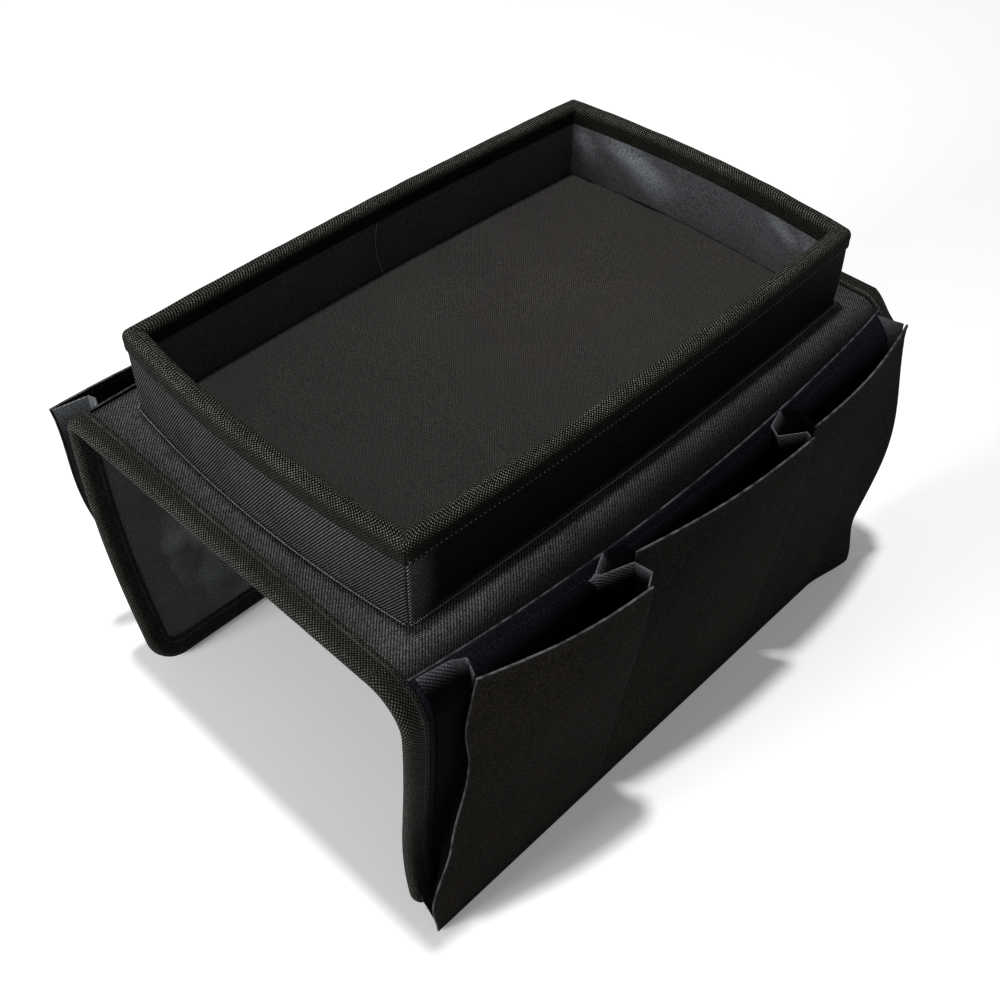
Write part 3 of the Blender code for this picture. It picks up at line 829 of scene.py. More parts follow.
lint_colour = (0.16, 0.15, 0.14)
# Painted highlight along folded free edges.
folded_edge_highlight = (0.120, 0.126, 0.132)
materials = {
    "cover": ribbed_material(
        "saddle cover weave", (0.142, 0.137, 0.132), (0.003, 0.003, 0.003), 0.6, -45.0, (0.00115, 0.00095),
        0.0004, bead=0.7, specular=0.06, sharpness=1.3, grain=0.65, painted_shade=True,
    ),
    "wall": ribbed_material(
        "tray wall twill", (0.420, 0.400, 0.405), (0.001, 0.001, 0.002), 0.6, 52.0, (0.00112, 0.0008),
        0.0005, bead=0.35, specular=0.03, sharpness=3.6, painted_shade=True,
    ),
    "pad": ribbed_material(
        "tray floor cloth", (0.069, 0.065, 0.060), (0.024, 0.022, 0.020), 0.85, -45.0, (0.0010, 0.0009),
        0.0002, bead=0.6, specular=0.08, grain=0.55, grain_scale=1900.0, painted_shade=True,
    ),
    "gusset": ribbed_material(
        "gusset twill", (0.002, 0.002, 0.005), (0.001, 0.001, 0.001), 0.7, 45.0, (0.0011, 0.0009),
        0.0003, specular=0.02, edge=folded_edge_highlight, top=(0.160, 0.166, 0.180), top_highlight_reach=0.0075,
    ),
    # Painted light: a lighter copy of the gusset twill, with a broad painted highlight at its top, for the
    # row's last end gusset.
    "lit end gusset": ribbed_material(
        "lit end gusset twill", (0.020, 0.020, 0.021), (0.003, 0.003, 0.003), 0.6, 45.0, (0.0011, 0.0009),
        0.0003, specular=0.08, edge=folded_edge_highlight, top=(0.230, 0.245, 0.262), top_highlight_reach=0.024,
    ),
    # Painted shade: a copy of the gusset twill without its painted highlights, for the pleats between
    # pockets.
    "shaded inner gusset": ribbed_material(
        "shaded inner gusset twill", (0.006, 0.006, 0.010), (0.001, 0.001, 0.002), 0.8, 45.0, (0.0011, 0.0009),
        0.0002, specular=0.05,
    ),
    "tape": net_material(
        "binding tape", (0.300, 0.302, 0.260), (0.003, 0.003, 0.002), 0.6, (0.0015, 0.0014), 0.0004,
        crown=0.0024, painted_leg_light=0.62,
    ),
    "saddle tape": net_material(
        "saddle binding tape", (0.158, 0.156, 0.138), (0.005, 0.005, 0.004), 0.6, (0.0016, 0.0014), 0.0004,
        crown=0.0030, painted_leg_light=0.85, sharpness=1.9, ridge=0.0096,
    ),
    "board": card_material("stiffener card"),
    # Painted shade: a near-black cloth for the tape's cut edges, standing for the shade in the groove beside
    # them.
    "tape edge shade": woven_material(
        "tape groove shade", (0.006, 0.006, 0.006), (0.002, 0.002, 0.002), None,
        0.9, (0.0006, 0.0006), 0.0001, 0.0001, specular=0.05,
    ),
    "lining": woven_material(
        "slate lining", (0.068, 0.070, 0.075), (0.029, 0.030, 0.033), (0.078, 0.081, 0.087),
        0.5, (0.0006, 0.0006), 0.0001, 0.0020, grain=0.5, fold_highlight=(0.130, 0.137, 0.148),
    ),
    # Painted light: a lighter copy of the slate lining for the flaps' insides, with strong painted highlights
    # on the crumple's high waves.
    "lit flap lining": woven_material(
        "slate lit flap lining", (0.108, 0.114, 0.121), (0.060, 0.064, 0.069), (0.420, 0.445, 0.460),
        0.5, (0.0006, 0.0006), 0.0001, 0.0022, crumple_scale=17.0, crumple_from=0.45, grain=0.45,
    ),
    "pocket": woven_material(
        "pocket cloth", (0.033, 0.028, 0.024), (0.008, 0.007, 0.006), (0.036, 0.032, 0.027),
        0.85, (0.0009, 0.0008), 0.00015, 0.0012, specular=0.03, edge=folded_edge_highlight, grain=0.8,
    ),
    "pocket back": woven_material(
        "pocket back cloth", (0.013, 0.013, 0.018), (0.004, 0.004, 0.007), (0.014, 0.014, 0.019),
        0.8, (0.0009, 0.0008), 0.00015, 0.0008, specular=0.03, edge=folded_edge_highlight, grain=0.6,
    ),
    # Painted highlight: a light cloth for the rims of folded edges, where the light catches them.
    "fold edge highlight": woven_material(
        "folded cloth edge highlight", (0.085, 0.088, 0.092), (0.013, 0.013, 0.015), None,
        0.6, (0.0011, 0.0011), 0.0002, 0.0003,
    ),
    "thread": thread_material("sewing thread", (0.340, 0.340, 0.310), (0.150, 0.150, 0.140), 0.6),
    "dark thread": thread_material("dark sewing thread", (0.045, 0.045, 0.048), (0.020, 0.020, 0.022), 0.7),
    "base thread": thread_material("base seam thread", (0.380, 0.380, 0.390), (0.160, 0.160, 0.165), 0.7),
}


# Saddle cloth

def cover_puff(y, reach):
    """How far the cloth stands off its board: nothing at the tape, a little between."""
    edge = ease((between_tapes - abs(y)) / 0.03)
    return edge * (cover_fullness + cover_waviness * ripple(y, reach, 0.06, 3.0))


def roll_painted_shade(side, place):
    """Painted shade on the cover: full colour on the flat top, painted darker round the roll as it turns from
    the light.
    """
    down_the_roll = math.atan2(side.sign * place.x - side.fold_reach, max(place.z + side.fold_radius, 0.001))
    return mix(1.0, darkest_painted_roll, ease(down_the_roll / painted_roll_shade_angle))


def tray_painted_light(place, front):
    """Painted light and shade on the tray's wall and rim: the right wall painted dark but for painted
    highlight beside its front corner and along its foot, the other walls painted darker by front and towards
    the left, and painted shade down the front right corner's crease.
    """
    corner_x = tray_half_width - tray_long_side_bow
    corner_y = tray_half_length - tray_short_side_bow
    past_corner = place.x - corner_x + place.y + corner_y
    if past_corner > 0 and place.x > corner_x - 0.0035:
        foot = 0.9 * (1 - ease((place.z - 0.0008) / 0.0024))
        painted_light = max(mix(1.0, darkest_painted_wall, ease((past_corner - 0.001) / painted_wall_shade_reach)), foot)
    else:
        painted_light = front * mix(0.7, 1.0, ease((place.x + corner_x) / (1.2 * corner_x)))
    return painted_light * (1 - 0.95 * hump(past_corner, -0.0002, 0.0006))


def make_top_layers():
    half = saddle_half_length - tape_face
    size = (top_right - top_left, 2 * half)
    for finish, offset, thickness, outward in saddle_layers:
        def run(across, along):
            return mix(top_left, top_right, across), mix(-half, half, along)

        def place(across, along):
            x, y = run(across, along)
            return Vector((x, y, saddle_middle_z + offset + outward * cover_puff(y, abs(x))))

        steps = (steps_for(size[0], broad_step), steps_for(size[1], broad_step))
        piece = cloth(f"top_{finish}_cloth", place, steps, thickness, run)
        mark(piece, "painted_light")
        dress(piece, finish, [f"top_{finish}"])
        follow(piece)


def make_side_layers(side):
    """Cover and lining of the fold and the flap, each one cloth that bends at the fold."""
    first, last = side.fold_reach, cloth_length(side) - tape_face
    size = (last - first, 2 * (saddle_half_length - tape_face))
    for finish, offset, thickness, outward in saddle_layers:
        def place(across, along):
            reach = mix(first, last, across)
            radius = side.hem_corner_radius
            corner = max(radius - (last - reach), 0.0)
            inset = radius - math.sqrt(max(radius**2 - corner**2, 0.0))
            half = size[1] / 2 - inset
            y = mix(-half, half, along)
            puff = cover_puff(y, reach) * ease((last - reach) / 0.02)
            return saddle_point(side, offset + outward * puff, y, reach)

        def run(across, along):
            return side.sign * mix(first, last, across), mix(-size[1] / 2, size[1] / 2, along)

        steps = (steps_for(size[0]), steps_for(size[1], broad_step))
        piece = cloth(f"{side.name}_{finish}_cloth", place, steps, thickness, run)
        # Painted shade: the cover is marked darker round the roll.
        mark(piece, "painted_light", lambda point: roll_painted_shade(side, point))
        # Painted light: the flaps' lining takes the lighter copy of the slate lining.
        shown = "lit flap lining" if finish == "lining" else finish
        dress(piece, shown, [f"{side.name}_fold_{finish}", f"{side.name}_flap_{finish}"])
        follow(piece, side)


# Binding tape

def tape_across(share):
    """Across the tape, from its outer leg's edge to its inner leg's: distance in, offset, pillow."""
    arc = math.pi * tape_radius
    straight = tape_leg - tape_face
    run = share * (2 * straight + arc)
    if run < straight:
        return tape_leg - run, tape_radius, run / straight
    if run > straight + arc:
        beyond = run - straight - arc
        return tape_face + beyond, -tape_radius, 1 - beyond / straight
    angle = (run - straight) / tape_radius
    return tape_face - tape_radius * math.sin(angle), tape_radius * math.cos(angle), 1.0


def tape_relief(share, run, seed):
    """The leg's edge is pressed down by its stitches, with the tape a little full beyond them."""
    inwards, offset, pillow = tape_across(share)
    side = math.copysign(1.0, offset) if pillow < 1.0 else 0.0
    stitch = hump(pillow, 0.22, 0.16)
    full = tape_fullness * ease(pillow / 0.5) - tape_dent * stitch
    full += tape_waviness * ripple(run, share * 0.02, 0.006, seed)
    return inwards, offset + side * full


def bind(piece, nodes, side=None):
    """Finish a piece of the saddle's binding tape."""
    mark(piece, "painted_light")
    dress(piece, "saddle tape", nodes, edge="tape edge shade")
    follow(piece, side)


def make_top_tapes():
    size = (tape_width, top_right - top_left)
    steps = (tape_steps, steps_for(size[1]))
    for name, edge in ends_of_top:
        def place(across, along):
            x = mix(top_left, top_right, along)
            inwards, offset = tape_relief(across, x, 5.0 * edge)
            return Vector((x, edge * (saddle_half_length - inwards), saddle_middle_z + offset))

        def run(across, along):
            return (across - 0.5) * tape_width, mix(top_left, top_right, along)

        piece = cloth(f"top_{name}_tape", place, steps, tape_thickness, run)
        bind(piece, [f"top_{name}_binding"])


def tape_path(side):
    """Lengths of the bound edge's run: down the front edge, round the corner, half the hem."""
    straight = cloth_length(side) - side.fold_reach - side.hem_corner_radius
    corner = math.pi / 2 * side.hem_corner_radius
    half_hem = saddle_half_length - side.hem_corner_radius
    return straight, corner, half_hem


def tape_place(side, run):
    """A point of the bound edge, and the direction in from it: reach, y, in_reach, in_y.

    Run is the distance along the edge from the front fold.
    """
    straight, corner, half_hem = tape_path(side)
    whole = 2 * (straight + corner + half_hem)
    mirrored = run > whole / 2
    near = whole - run if mirrored else run
    turn = 1 if mirrored else -1
    if near <= straight:
        reach, y, angle = side.fold_reach + near, saddle_half_length, 0.0
    elif near <= straight + corner:
        angle = (near - straight) / side.hem_corner_radius
        reach = side.fold_reach + straight + side.hem_corner_radius * math.sin(angle)
        y = saddle_half_length - side.hem_corner_radius * (1 - math.cos(angle))
    else:
        angle = math.pi / 2
        reach = side.fold_reach + straight + side.hem_corner_radius
        y = whole / 2 - near
    return reach, turn * y, -math.sin(angle), -turn * math.cos(angle)


def make_side_tape(side):
    size = (tape_width, 2 * sum(tape_path(side)))

    def place(across, along):
        run = along * size[1]
        inwards, offset = tape_relief(across, run, 9.0 + side.sign)
        reach, y, in_reach, in_y = tape_place(side, run)
        return saddle_point(side, offset, y + in_y * inwards, reach + in_reach * inwards)

    def run(across, along):
        return (across - 0.5) * tape_width, along * size[1]

    steps = (tape_steps, steps_for(size[1], 0.002))
    piece = cloth(f"{side.name}_edge_tape", place, steps, tape_thickness, run)
    nodes = [f"{side.name}_{part}_binding" for part in ("fold_front", "fold_rear", "flap")]
    bind(piece, nodes, side)


# Tray

def tray_wall_sizes(side_number):
    """Half the tray's size across a wall and along it, each with how far that side bows out."""
    long_side = (tray_half_width, tray_long_side_bow)
    short_side = (tray_half_length, tray_short_side_bow)
    if side_number % 2:
        return short_side + long_side
    return long_side + short_side


def tray_place(inset, share, z):
    """A point of the tray's outline, set in by inset, at that share of the way round."""
    side_number = min(int(share * 4), 3)
    across, bow, along, next_bow = tray_wall_sizes(side_number)
    radius = max(tray_corner_radius - inset, tray_least_corner_radius)
    straight = along - next_bow - inset - radius
    centre = across - bow - inset - radius
    quarter = share * 4 - side_number
    if corner_share <= quarter <= 1 - corner_share:
        place = 2 * (quarter - corner_share) / (1 - 2 * corner_share) - 1
        out, run = across - inset - bow * place**2, place * straight
    else:
        end = 1 if quarter > 0.5 else -1
        turned = 1 - min(quarter, 1 - quarter) / corner_share
        angle = math.radians(45) * end * turned
        out, run = centre + radius * math.cos(angle), end * straight + radius * math.sin(angle)
    return Matrix.Rotation(side_number * math.pi / 2, 3, "Z") @ Vector((out, run, z))


def tray_distances():
    """How far it is round the tray's outer face to each of its steps."""
    places = [tray_place(0.0, step / tray_steps, 0.0) for step in range(tray_steps + 1)]
    distances = [0.0]
    for here, ahead in zip(places, places[1:]):
        distances.append(distances[-1] + (ahead - here).length)
    return distances


tray_runs = tray_distances()


def tray_run(share):
    """Distance round the tray's outer face at that share of the way round."""
    step = min(int(share * tray_steps), tray_steps - 1)
    return mix(tray_runs[step], tray_runs[step + 1], share * tray_steps - step)


def tray_share(run):
    """The share of the way round the tray at that distance."""
    step = min(max(bisect_right(tray_runs, run) - 1, 0), tray_steps - 1)
    return (step + (run - tray_runs[step]) / (tray_runs[step + 1] - tray_runs[step])) / tray_steps


def corner_nearness(share):
    """1 at the middle of a corner of the tray, and 0 just beside it."""
    quarter = (share * 4) % 1.0
    return ease(1 - min(quarter, 1 - quarter) / (corner_share * 0.4))


def tray_ripple(share, z, scale, seed):
    """Slow waves round the tray that meet where its outline closes."""
    place = tray_place(0.0, share, z) / scale
    return noise.noise(place + Vector((0.0, 0.0, seed)))


def along_polyline(points, share):
    """A point on a run of straight stretches, with equal shares for equal lengths."""
    lengths = [(b - a).length for a, b in zip(points, points[1:])]
    left = share * sum(lengths)
    for (a, b), length in zip(zip(points, points[1:]), lengths):
        if left <= length or b is points[-1]:
            return a.lerp(b, min(left / length, 1.0))
        left -= length


def polyline_length(points):
    return sum((b - a).length for a, b in zip(points, points[1:]))


def cut_area(place, columns, rows):
    """Area of the cloth that place lays out over its shares across and along."""
    points = [[place(i / columns, j / rows) for i in range(columns + 1)] for j in range(rows + 1)]
    area = 0.0
    for low, high in zip(points, points[1:]):
        for i in range(columns):
            area += (low[i + 1] - low[i]).cross(high[i] - low[i]).length / 2
            area += (high[i] - high[i + 1]).cross(low[i + 1] - high[i + 1]).length / 2
    return area


def lining_fold(place, start, end, width):
    """1 along the crest of a soft fold between two places, and 0 beyond its width and ends."""
    along = end - start
    near = clamp((place - start).dot(along) / along.length_squared)
    off = (place - start - along * near).length
    return ease(1 - off / width) * ease(3 * near) * ease(3 * (1 - near))


def lining_fold_highlight(place):
    """How much painted highlight lies on the lining's folds."""
    return max(light * lining_fold(place, *line) for *line, depth, light in lining_folds)


def tray_cloth(name, place, columns, width, run_from, finish, nodes, edge=None, marks=()):
    """A cloth round the tray, of that width. Its UV across starts at run_from."""
    steps = (columns, tray_steps)
    thickness = tape_thickness if finish == "tape" else band_thickness

    def run(across, along):
        return (across - run_from) * width, tray_run(along)

    piece = cloth(name, place, steps, thickness, run, ring=True)
    if marks:
        mark(piece, *marks)
    dress(piece, finish, nodes, edge)
    follow(piece)


def make_outer_band():
    flange_z = tray_base + band_flange_lift + band_thickness / 2
    section = [
        Vector((-band_flange, flange_z)),
        Vector((outer_band_middle - band_flange_bend, flange_z)),
        Vector((outer_band_middle - band_flange_bend * 0.3, flange_z + band_flange_bend * 0.3)),
        Vector((outer_band_middle, flange_z + band_flange_bend)),
        Vector((outer_band_middle, wall_top)),
    ]

    def place(across, along):
        inset, z = along_polyline(section, across)
        rise = clamp(z / wall_top)
        puff = math.sin(math.pi * rise) * wall_fullness * (1 + tray_ripple(along, z, 0.05, 11.0))
        pinch = band_corner_pinch * corner_nearness(along) * ease(6 * rise)
        return tray_place(inset - puff + pinch, along, z)

    # Painted light and shade on the wall cloth, from its place round the tray.
    marks = ("painted_light", lambda point: tray_painted_light(point, painted_wall_light))
    tray_cloth(
        "tray_outer_cloth", place, 24, polyline_length(section), 0.0, "wall", ["tray_outer_band"],
        "fold edge highlight", marks,
    )


def make_inner_band():
    def place(across, along):
        z = mix(tray_base, wall_top, across)
        free = math.sin(math.pi * across)
        slack = lining_slack + lining_waviness * (1 + tray_ripple(along, z * 0.6, 0.035, 17.0))
        point = tray_place(inner_band_middle, along, z)
        fold = sum(depth * lining_fold(point, *line) for *line, depth, light in lining_folds)
        fold *= ease((tray_height - rim_leg - z) / 0.012)
        return tray_place(inner_band_middle + free * (slack + fold), along, z)

    # Painted highlight: the lining is marked lighter along its folds.
    tray_cloth(
        "tray_inner_cloth", place, 22, wall_top - tray_base, 0.0, "lining", ["tray_inner_band"],
        marks=("fold", lining_fold_highlight),
    )


def rim_section():
    """Across the rim tape from its outer leg's edge: distance out from the wall's middle, and height."""
    roll = rim_roll + tape_thickness / 2
    corner_z = tray_height - tape_thickness / 2 - roll
    half = [Vector((rim_middle_radius, tray_height - rim_leg))]
    for step in range(7):
        angle = math.pi / 2 * step / 6
        out = rim_middle_radius - roll * (1 - math.cos(angle))
        half.append(Vector((out, corner_z + roll * math.sin(angle))))
    return half + [Vector((-point.x, point.y)) for point in reversed(half)]


def make_rim_tape():
    section = rim_section()

    def place(across, along):
        out, z = along_polyline(section, across)
        leg = clamp((tray_height - z) / rim_leg)
        stitch = hump(leg, 0.82, 0.14)
        full = rim_fullness * (1 - leg) - rim_dent * stitch
        full += rim_waviness * tray_ripple(along, out * 3, 0.012, 21.0)
        out += math.copysign(full, out)
        return tray_place(wall_thickness / 2 - out, along, z + full * (1 - leg))

    # Painted light and shade on the rim tape: as on the wall, but the rim's top is kept fully lit.
    def painted_light(point):
        return tray_painted_light(point, painted_rim_light) if point.z < tray_height - painted_lit_crown_depth else 1.0

    tray_cloth(
        "tray_rim_tape", place, 36, polyline_length(section), 0.5, "tape", ["tray_rim_binding"],
        "tape edge shade", ("painted_light", painted_light),
    )


def make_rim_stitches():
    """The seam that holds the rim tape, seen as light dots near its lower edge."""
    level = tray_height - rim_leg * 0.86
    inset = wall_thickness / 2 - rim_middle_radius - tape_thickness / 2

    def outside(run):
        share = tray_share(run)
        sunk = 0.0003 if share > 0.75 else 0.0003 * corner_nearness(share)
        point = tray_place(inset - 0.00015 + sunk, share, level)
        deeper = tray_place(inset + 0.002, share, level)
        return point, (point - deeper).normalized()

    sew("tray_rim_stitches", outside, tray_run(1.0), rim_seam)


def make_base_seam():
    """The thread that holds the tray's flange to the saddle, close along the flange's outer edge."""
    level = tray_base + band_flange_lift + band_thickness

    def along_flange(run):
        return tray_place(-band_flange, tray_share(run), level), upward

    sew("tray_base_seam", along_flange, tray_run(1.0), base_seam)


def make_lining_seam():
    """The upright seam where the lining's two ends meet, on the left wall."""
    def up_the_wall(run):
        share = 0.625 + 0.004 * math.sin(run / wall_top * math.pi)
        point = tray_place(inner_band_middle + 0.0012, share, run + 0.002)
        return point, Vector((1.0, 0.0, 0.0))

    sew("tray_lining_seam", up_the_wall, wall_top - rim_leg + 0.002, lining_seam)


def make_tape_stitches():
    """The seams that hold the saddle's binding tape: across both ends of the top, then round each flap."""
    inwards = tape_leg - tape_seam.length
    offset = tape_face + 0.0001
    for name, edge in ends_of_top:
        def along_top(run):
            y = edge * (saddle_half_length - inwards)
            return Vector((top_left + run, y, saddle_middle_z + offset)), upward

        sew(f"top_{name}_stitches", along_top, top_right - top_left, tape_seam)
    for side in sides:
        def round_flap(run):
            reach, y, in_reach, in_y = tape_place(side, run)
            return off_saddle(side, offset, y + in_y * inwards, reach + in_reach * inwards)

        sew(f"{side.name}_edge_stitches", round_flap, 2 * sum(tape_path(side)), tape_seam, side)


def make_floor_pad():
    low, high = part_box("tray_floor_pad")
    inset = wall_thickness + floor_clearance
    half_x, half_y = tray_half_width - inset, tray_half_length - inset
    corner = floor_corner_radius
    middle_z = (low.z + high.z) / 2 - tray_middle.z

    def place(across, along):
        across, along = 2 * across - 1, 2 * along - 1
        x = across * (half_x - tray_long_side_bow * along**2)
        y = along * (half_y - tray_short_side_bow * across**2)
        out_x = max(abs(x) - (half_x - tray_long_side_bow - corner), 0.0)
        out_y = max(abs(y) - (half_y - tray_short_side_bow - corner), 0.0)
        if out_x and out_y and math.hypot(out_x, out_y) > corner:
            shorten = corner / math.hypot(out_x, out_y)
            x -= math.copysign(out_x * (1 - shorten), x)
            y -= math.copysign(out_y * (1 - shorten), y)
        soft = pad_waviness * (ripple(x, y, 0.03, 31.0) + 0.8 * ripple(x, y, 0.09, 33.0))
        return Vector((x, y, middle_z + soft))

    def run(across, along):
        return (tray_middle + place(across, along)).xy

    piece = sheet_on_grid("tray_floor_cloth", pad_steps, place, run)
    apply_modifier(piece, "SOLIDIFY", thickness=floor_pad_thickness - 0.0004, offset=0.0)
    apply_modifier(
        piece, "BEVEL", width=pad_bevel, segments=3, limit_method="ANGLE", angle_limit=math.radians(60)
    )
    bpy.ops.object.shade_smooth_by_angle(angle=smooth_angle)
    # Painted shade: the pad is marked darker towards the front.
    mark(piece, "painted_light", lambda point: mix(0.55, 1.0, ease((point.y + half_y) / 0.13)))
    dress(piece, "pad", ["tray_floor_pad"])
    follow(piece)


# Pocket rows

def row_y(side, share):
    return side.run * pocket_row_half * share


def base_top(side):
    return flap_length(side) - tape_leg


def front_foot_drop(side):
    return drop_to_height(side, layer_gap, toe_middle)


def mouth_drop(side):
    return drop_to_height(side, saddle_height - pocket_mouth_drop)


def free_edge_flare(number, across, up):
    """The row's last edge curls out and away between its toe and its mouth."""
    if number < len(pocket_seam_shares) - 1:
        return 0.0
    fade = max(2 * across - 1, 0.0) ** 2
    foot = 0.005 * ease((across - 0.7) / 0.3) * hump(up, 0.0, 0.22)
    return pocket_free_edge_flare * fade * math.sin(math.pi * up) ** 2 + foot


def near_edge_sway(number, across, up):
    """The row's first edge wanders along the row: out near its toe and its mouth, in between."""
    if number > 0:
        return 0.0
    wander = 0.007 * hump(up, 0.16, 0.2) - 0.0025 * hump(up, 0.62, 0.2) + 0.003 * hump(up, 0.85, 0.15)
    return wander * ease(1 - across / 0.4)


def front_point(side, number, across, up, offset=0.0):
    start_gap, end_gap = side.gap_shares[number]
    start_mouth, end_mouth = pocket_mouth_shares[number]
    start_foot, end_foot = pocket_foot_shares[number]
    edge_share = pocket_edge_gap / (pocket_row_half * (end_foot - start_foot))
    across = mix(edge_share, 1 - edge_share, across)
    y = row_y(side, mix(mix(start_foot, end_foot, across), mix(start_mouth, end_mouth, across), up))
    drop = mix(front_foot_drop(side), mouth_drop(side), up)
    mouth = half_sandwich + pocket_mouth_depth * mix(start_gap, end_gap, across) - pocket_front_thickness / 2
    swell = math.sin(math.pi * across) * pocket_mouth_bulge * up
    belly = math.sin(math.pi * clamp(up)) * pocket_belly
    bow = bow_at(side, clamp(drop / flap_length(side))) * math.sin(math.pi / 2 * clamp(up))
    flare = free_edge_flare(number, across, up)
    along = side.run * (flare - near_edge_sway(number, across, up))
    out = mix(toe_middle, mouth, up) + swell + belly + bow + flare + offset
    return flap_point(side, out, y + along, drop)


def back_top(side, y):
    """Where the pocket back's hem lies along the cloth: higher on the roll towards its two ends."""
    on_roll = back_hem_share * arc_length(side)
    return side.fold_reach + on_roll * (1 - back_hem_rise_share * (y / between_tapes) ** 2)


def make_pocket_back(side):
    last = cloth_length(side) - tape_leg - layer_gap

    def place(across, along):
        y = mix(-between_tapes, between_tapes, along)
        first = back_top(side, y)
        reach = mix(first, last, across)
        fold = hump(reach, first + 0.0008, 0.0022)
        lift = 0.0003 + cover_puff(y, reach) + back_hem_fold * fold
        lift -= back_hem_dent * hump(reach, first + 0.005, 0.002)
        return saddle_point(side, back_middle + lift, y, reach)

    def run(across, along):
        return away_from_edge + along * size[1], across * size[0]

    size = (polyline_length([place(share / 96, 0.0) for share in range(97)]), 2 * between_tapes)
    steps = (steps_for(size[0], 0.0012), steps_for(size[1], 0.004))
    piece = cloth(f"{side.name}_pocket_back_cloth", place, steps, pocket_cloth, run)
    nodes = [f"{side.name}_pocket_back", f"{side.name}_pocket_back_hem"]
    dress(piece, "pocket back", nodes, edge="fold edge highlight")
    follow(piece, side)
    area = cut_area(place, 24, 48)


def make_hem_stitches(side):
    """The faint seam a little below the pocket back's hem."""
    def along_hem(run):
        y = run - between_tapes
        return off_saddle(side, back_face + 0.0006, y, back_top(side, y) + hem_seam_drop)

    sew(f"{side.name}_hem_stitches", along_hem, 2 * between_tapes, hem_seam, side)


def make_pocket_base(side):
    foot = drop_to_height(side, 0.0, base_middle)
    seam = tape_face + layer_gap + pocket_cloth / 2
    seam_top = base_top(side)
    ends = sorted((row_y(side, pocket_foot_shares[0][0]), row_y(side, pocket_foot_shares[-1][1])))
    ends = (ends[0] + pocket_edge_gap, ends[1] - pocket_edge_gap)
    levels = [
        cloth_point(side, seam, 0.0, seam_top),
        cloth_point(side, seam, 0.0, seam_top + tape_leg * base_seam_share),
        flap_point(side, base_middle, 0.0, foot - pocket_toe_lip),
        flap_point(side, base_middle, 0.0, foot),
    ]
    size = (polyline_length(levels), ends[1] - ends[0])

    def place(across, along):
        return along_polyline(levels, across) + Vector((0.0, mix(*ends, along), 0.0))

    def run(across, along):
        return away_from_edge + along * size[1], away_from_edge + across * size[0]

    piece = cloth(f"{side.name}_pocket_base_cloth", place, (12, 100), pocket_cloth, run)
    dress(piece, "pocket", [f"{side.name}_pocket_base"])
    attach(piece, f"{side.name}_flap")


def make_pocket_front(side, number):
    corners = [front_point(side, number, across, up) for across, up in ((0, 0), (1, 0), (0, 1), (1, 1))]
    width = ((corners[1] - corners[0]).length + (corners[3] - corners[2]).length) / 2
    height = (corners[2] - corners[0]).length

    def place(across, up):
        down = (1 - up) * height
        hem = front_hem_fold * hump(down, 0.001, 0.0025) - front_hem_dent * hump(down, 0.008, 0.002)
        spread = math.sin(math.pi * up) * (0.4 + 0.6 * math.sin(math.pi * across))
        waves = front_waviness * spread * ripple(across * width, up * height * 0.5, 0.04, 41.0 + number)
        return front_point(side, number, across, up, hem + max(waves, -0.0003))

    def run(across, up):
        from_side = min(across, 1 - across) if number == 0 else 1 - across
        return from_side * width, (1 - up) * height

    steps = (steps_for(width, 0.002), steps_for(height, 0.0014))
    name = f"{side.name}_pocket_{number + 1}"
    piece = cloth(f"{name}_front_cloth", place, steps, pocket_front_thickness, run)
    dress(piece, "pocket", [f"{name}_front"], edge="fold edge highlight")
    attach(piece, f"{name}_panel")


def profile_at(profile, share):
    """Along a gusset's folds: how far across, and how deep into the pocket."""
    stretch = share * (len(profile) - 1)
    index = min(int(stretch), len(profile) - 2)
    (along, depth), (next_along, next_depth) = profile[index], profile[index + 1]
    return mix(along, next_along, stretch - index), mix(depth, next_depth, stretch - index)


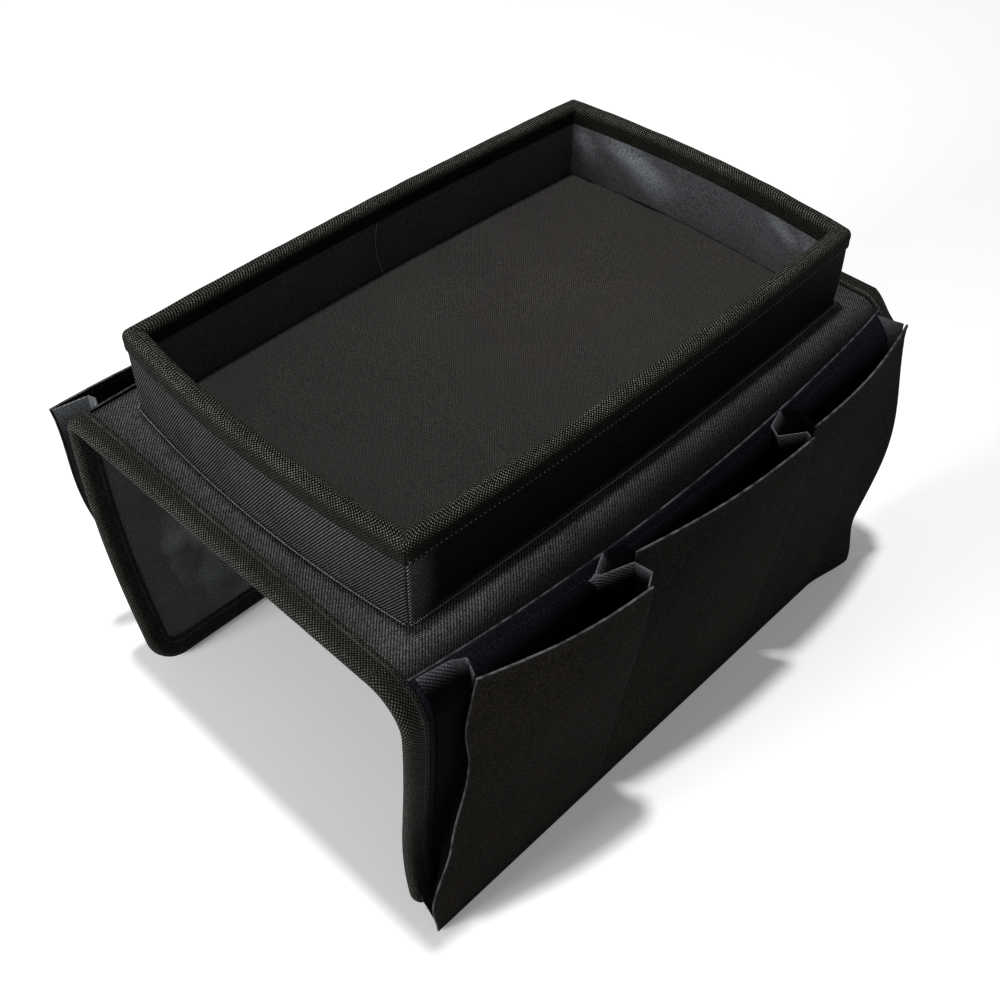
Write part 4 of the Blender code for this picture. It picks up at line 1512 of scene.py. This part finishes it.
def make_gusset(side, number, end):
    profile = (start_gusset_shares, end_gusset_shares)[end][number]
    if side is left_side and number == 2 and end == 1:
        profile = left_end_gusset_shares
    inwards = side.run * (1, -1)[end]
    fold_share = side.fold_shares[number][end]
    seam_y = row_y(side, pocket_seam_shares[number][end]) + inwards * pocket_seam_gap / 2
    seam_offset = back_face + layer_gap + pocket_cloth / 2 + 0.0004
    behind_front = -pocket_front_thickness / 2 - gusset_edge_gap - pocket_cloth / 2
    foot, mouth = front_foot_drop(side), mouth_drop(side)
    fold_end = side.fold_reach + arc_length(side)
    if (number, end) in ((0, 0), (2, 1)):
        seam_top = back_top(side, seam_y) + 0.001
    else:
        seam_top = fold_end - middle_radius(side) * math.asin(-mouth / middle_radius(side))
    seam_lowest = fold_end + base_top(side) - layer_gap
    edge_lowest = foot - pocket_toe_lip - layer_gap
    height = edge_lowest - mouth

    def place(across, along):
        seam = saddle_point(side, seam_offset, seam_y, mix(seam_lowest, seam_top, along))
        up = (foot - mix(edge_lowest, mouth, along)) / (foot - mouth)
        edge = front_point(side, number, end, up, behind_front)
        edge.y += inwards * gusset_edge_inset
        depth = fold_share * mix(gusset_foot_fold, gusset_fold_depth, along)
        out, fold = profile_at(profile, across)
        return seam.lerp(edge, out) + Vector((0.0, inwards * depth * fold, 0.0))

    def run(across, along):
        return away_from_edge + across * size[0], (1 - along) * height

    widths = [polyline_length([place(share / 24, along) for share in range(25)]) for along in (0.0, 1.0)]
    size = (max(widths), height)
    panel = f"{side.name}_pocket_{number + 1}"
    name = f"{panel}_{('start', 'end')[end]}_gusset"
    steps = (6 * (len(profile) - 1), steps_for(height, 0.003))
    piece = cloth(f"{name}_cloth", place, steps, pocket_cloth, run)
    # Painted light and shade: the pleats between pockets take the copy without highlights, the row's last end
    # gusset the lighter copy.
    if end == 0 and number > 0:
        dress(piece, "shaded inner gusset", [name], edge="shaded inner gusset")
    else:
        dress(piece, "lit end gusset" if number == 2 else "gusset", [name], edge="fold edge highlight")
    seam_side, front_side = (tray_middle + place(across, 0.5) for across in (0.0, 1.0))
    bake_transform(piece)
    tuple(seam_side)
    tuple(front_side)
    area = cut_area(place, 24, 12)


def make_side(side):
    make_side_layers(side)
    make_side_tape(side)
    make_pocket_back(side)
    make_hem_stitches(side)
    make_pocket_base(side)
    for number in range(3):
        make_pocket_front(side, number)
        for end in (0, 1):
            make_gusset(side, number, end)


def dress_boards():
    for name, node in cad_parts.items():
        if name.endswith("_board"):
            for material_slot in node.material_slots:
                material_slot.material = materials["board"]


# Stage, lights and camera

def make_camera():
    azimuth, elevation, roll = map(math.radians, camera_angles)
    back = Vector((math.sin(azimuth), -math.cos(azimuth), 0.0)) * math.cos(elevation)
    back.z = math.sin(elevation)
    right = Vector((math.cos(azimuth), math.sin(azimuth), 0.0))
    up = back.cross(right)
    turned_right = right * math.cos(roll) + up * math.sin(roll)
    turned_up = up * math.cos(roll) - right * math.sin(roll)
    camera = bpy.data.objects.new("camera", bpy.data.cameras.new("camera"))
    place = Matrix((turned_right, turned_up, back)).transposed().to_4x4()
    place.translation = Vector(camera_place)
    camera.matrix_world = place
    camera.data.lens = camera_lens
    camera.data.sensor_width = camera_sensor
    camera.data.clip_start = 0.01
    bpy.context.scene.collection.objects.link(camera)
    bpy.context.scene.camera = camera


def make_light(name, place, size, power):
    lamp = bpy.data.objects.new(name, bpy.data.lights.new(name, "AREA"))
    lamp.data.shape = "DISK"
    lamp.data.size = size
    lamp.data.energy = power
    lamp.location = place
    lamp.rotation_mode = "QUATERNION"
    lamp.rotation_quaternion = (lamp_target - Vector(place)).to_track_quat("-Z", "Y")
    bpy.context.scene.collection.objects.link(lamp)


def seen_by(tree, *kinds):
    """1 for rays of these kinds, and 0 for those that only carry light."""
    rays = add_node(tree, "LightPath")
    seen = rays[f"Is {kinds[0]} Ray"]
    for kind in kinds[1:]:
        seen = calculate(tree, "MAXIMUM", seen, rays[f"Is {kind} Ray"])
    return seen


def make_stage():
    """A white floor and world, which look white and light the scene less."""
    bpy.ops.object.select_all(action="DESELECT")
    bpy.ops.mesh.primitive_plane_add(size=floor_size, location=(0.0, 0.0, floor_height))
    floor = bpy.context.object
    floor.name = "studio_floor"
    paper, tree, shader = new_material("white paper", 1.0, 0.0)
    seen = seen_by(tree, "Camera", "Transmission", "Glossy")
    connect(tree, blend_colours(tree, seen, (0.35, 0.35, 0.35), (1.0, 1.0, 1.0)), shader["Base Color"])
    connect(tree, blend_colours(tree, seen, (0.0, 0.0, 0.0), (0.14, 0.14, 0.14)), shader["Emission Color"])
    shader["Emission Strength"].default_value = 1.0
    floor.data.materials.append(paper)
    for name, place, size, power in lamps:
        make_light(name, place, size, power)
    world = bpy.data.worlds.new("studio")
    world.use_nodes = True
    tree = world.node_tree
    background = tree.nodes["Background"].inputs
    seen = seen_by(tree, "Camera", "Transmission")
    connect(tree, blend_values(tree, seen, 0.19, 1.0), background["Strength"])
    connect(tree, (1.0, 1.0, 1.0), background["Color"])
    bpy.context.scene.world = world


bpy.context.scene.view_settings.view_transform = "Standard"
make_camera()
make_top_layers()
make_top_tapes()
make_outer_band()
make_inner_band()
make_rim_tape()
make_rim_stitches()
make_base_seam()
make_lining_seam()
make_tape_stitches()
make_floor_pad()
for each_side in sides:
    make_side(each_side)
dress_boards()
make_stage()
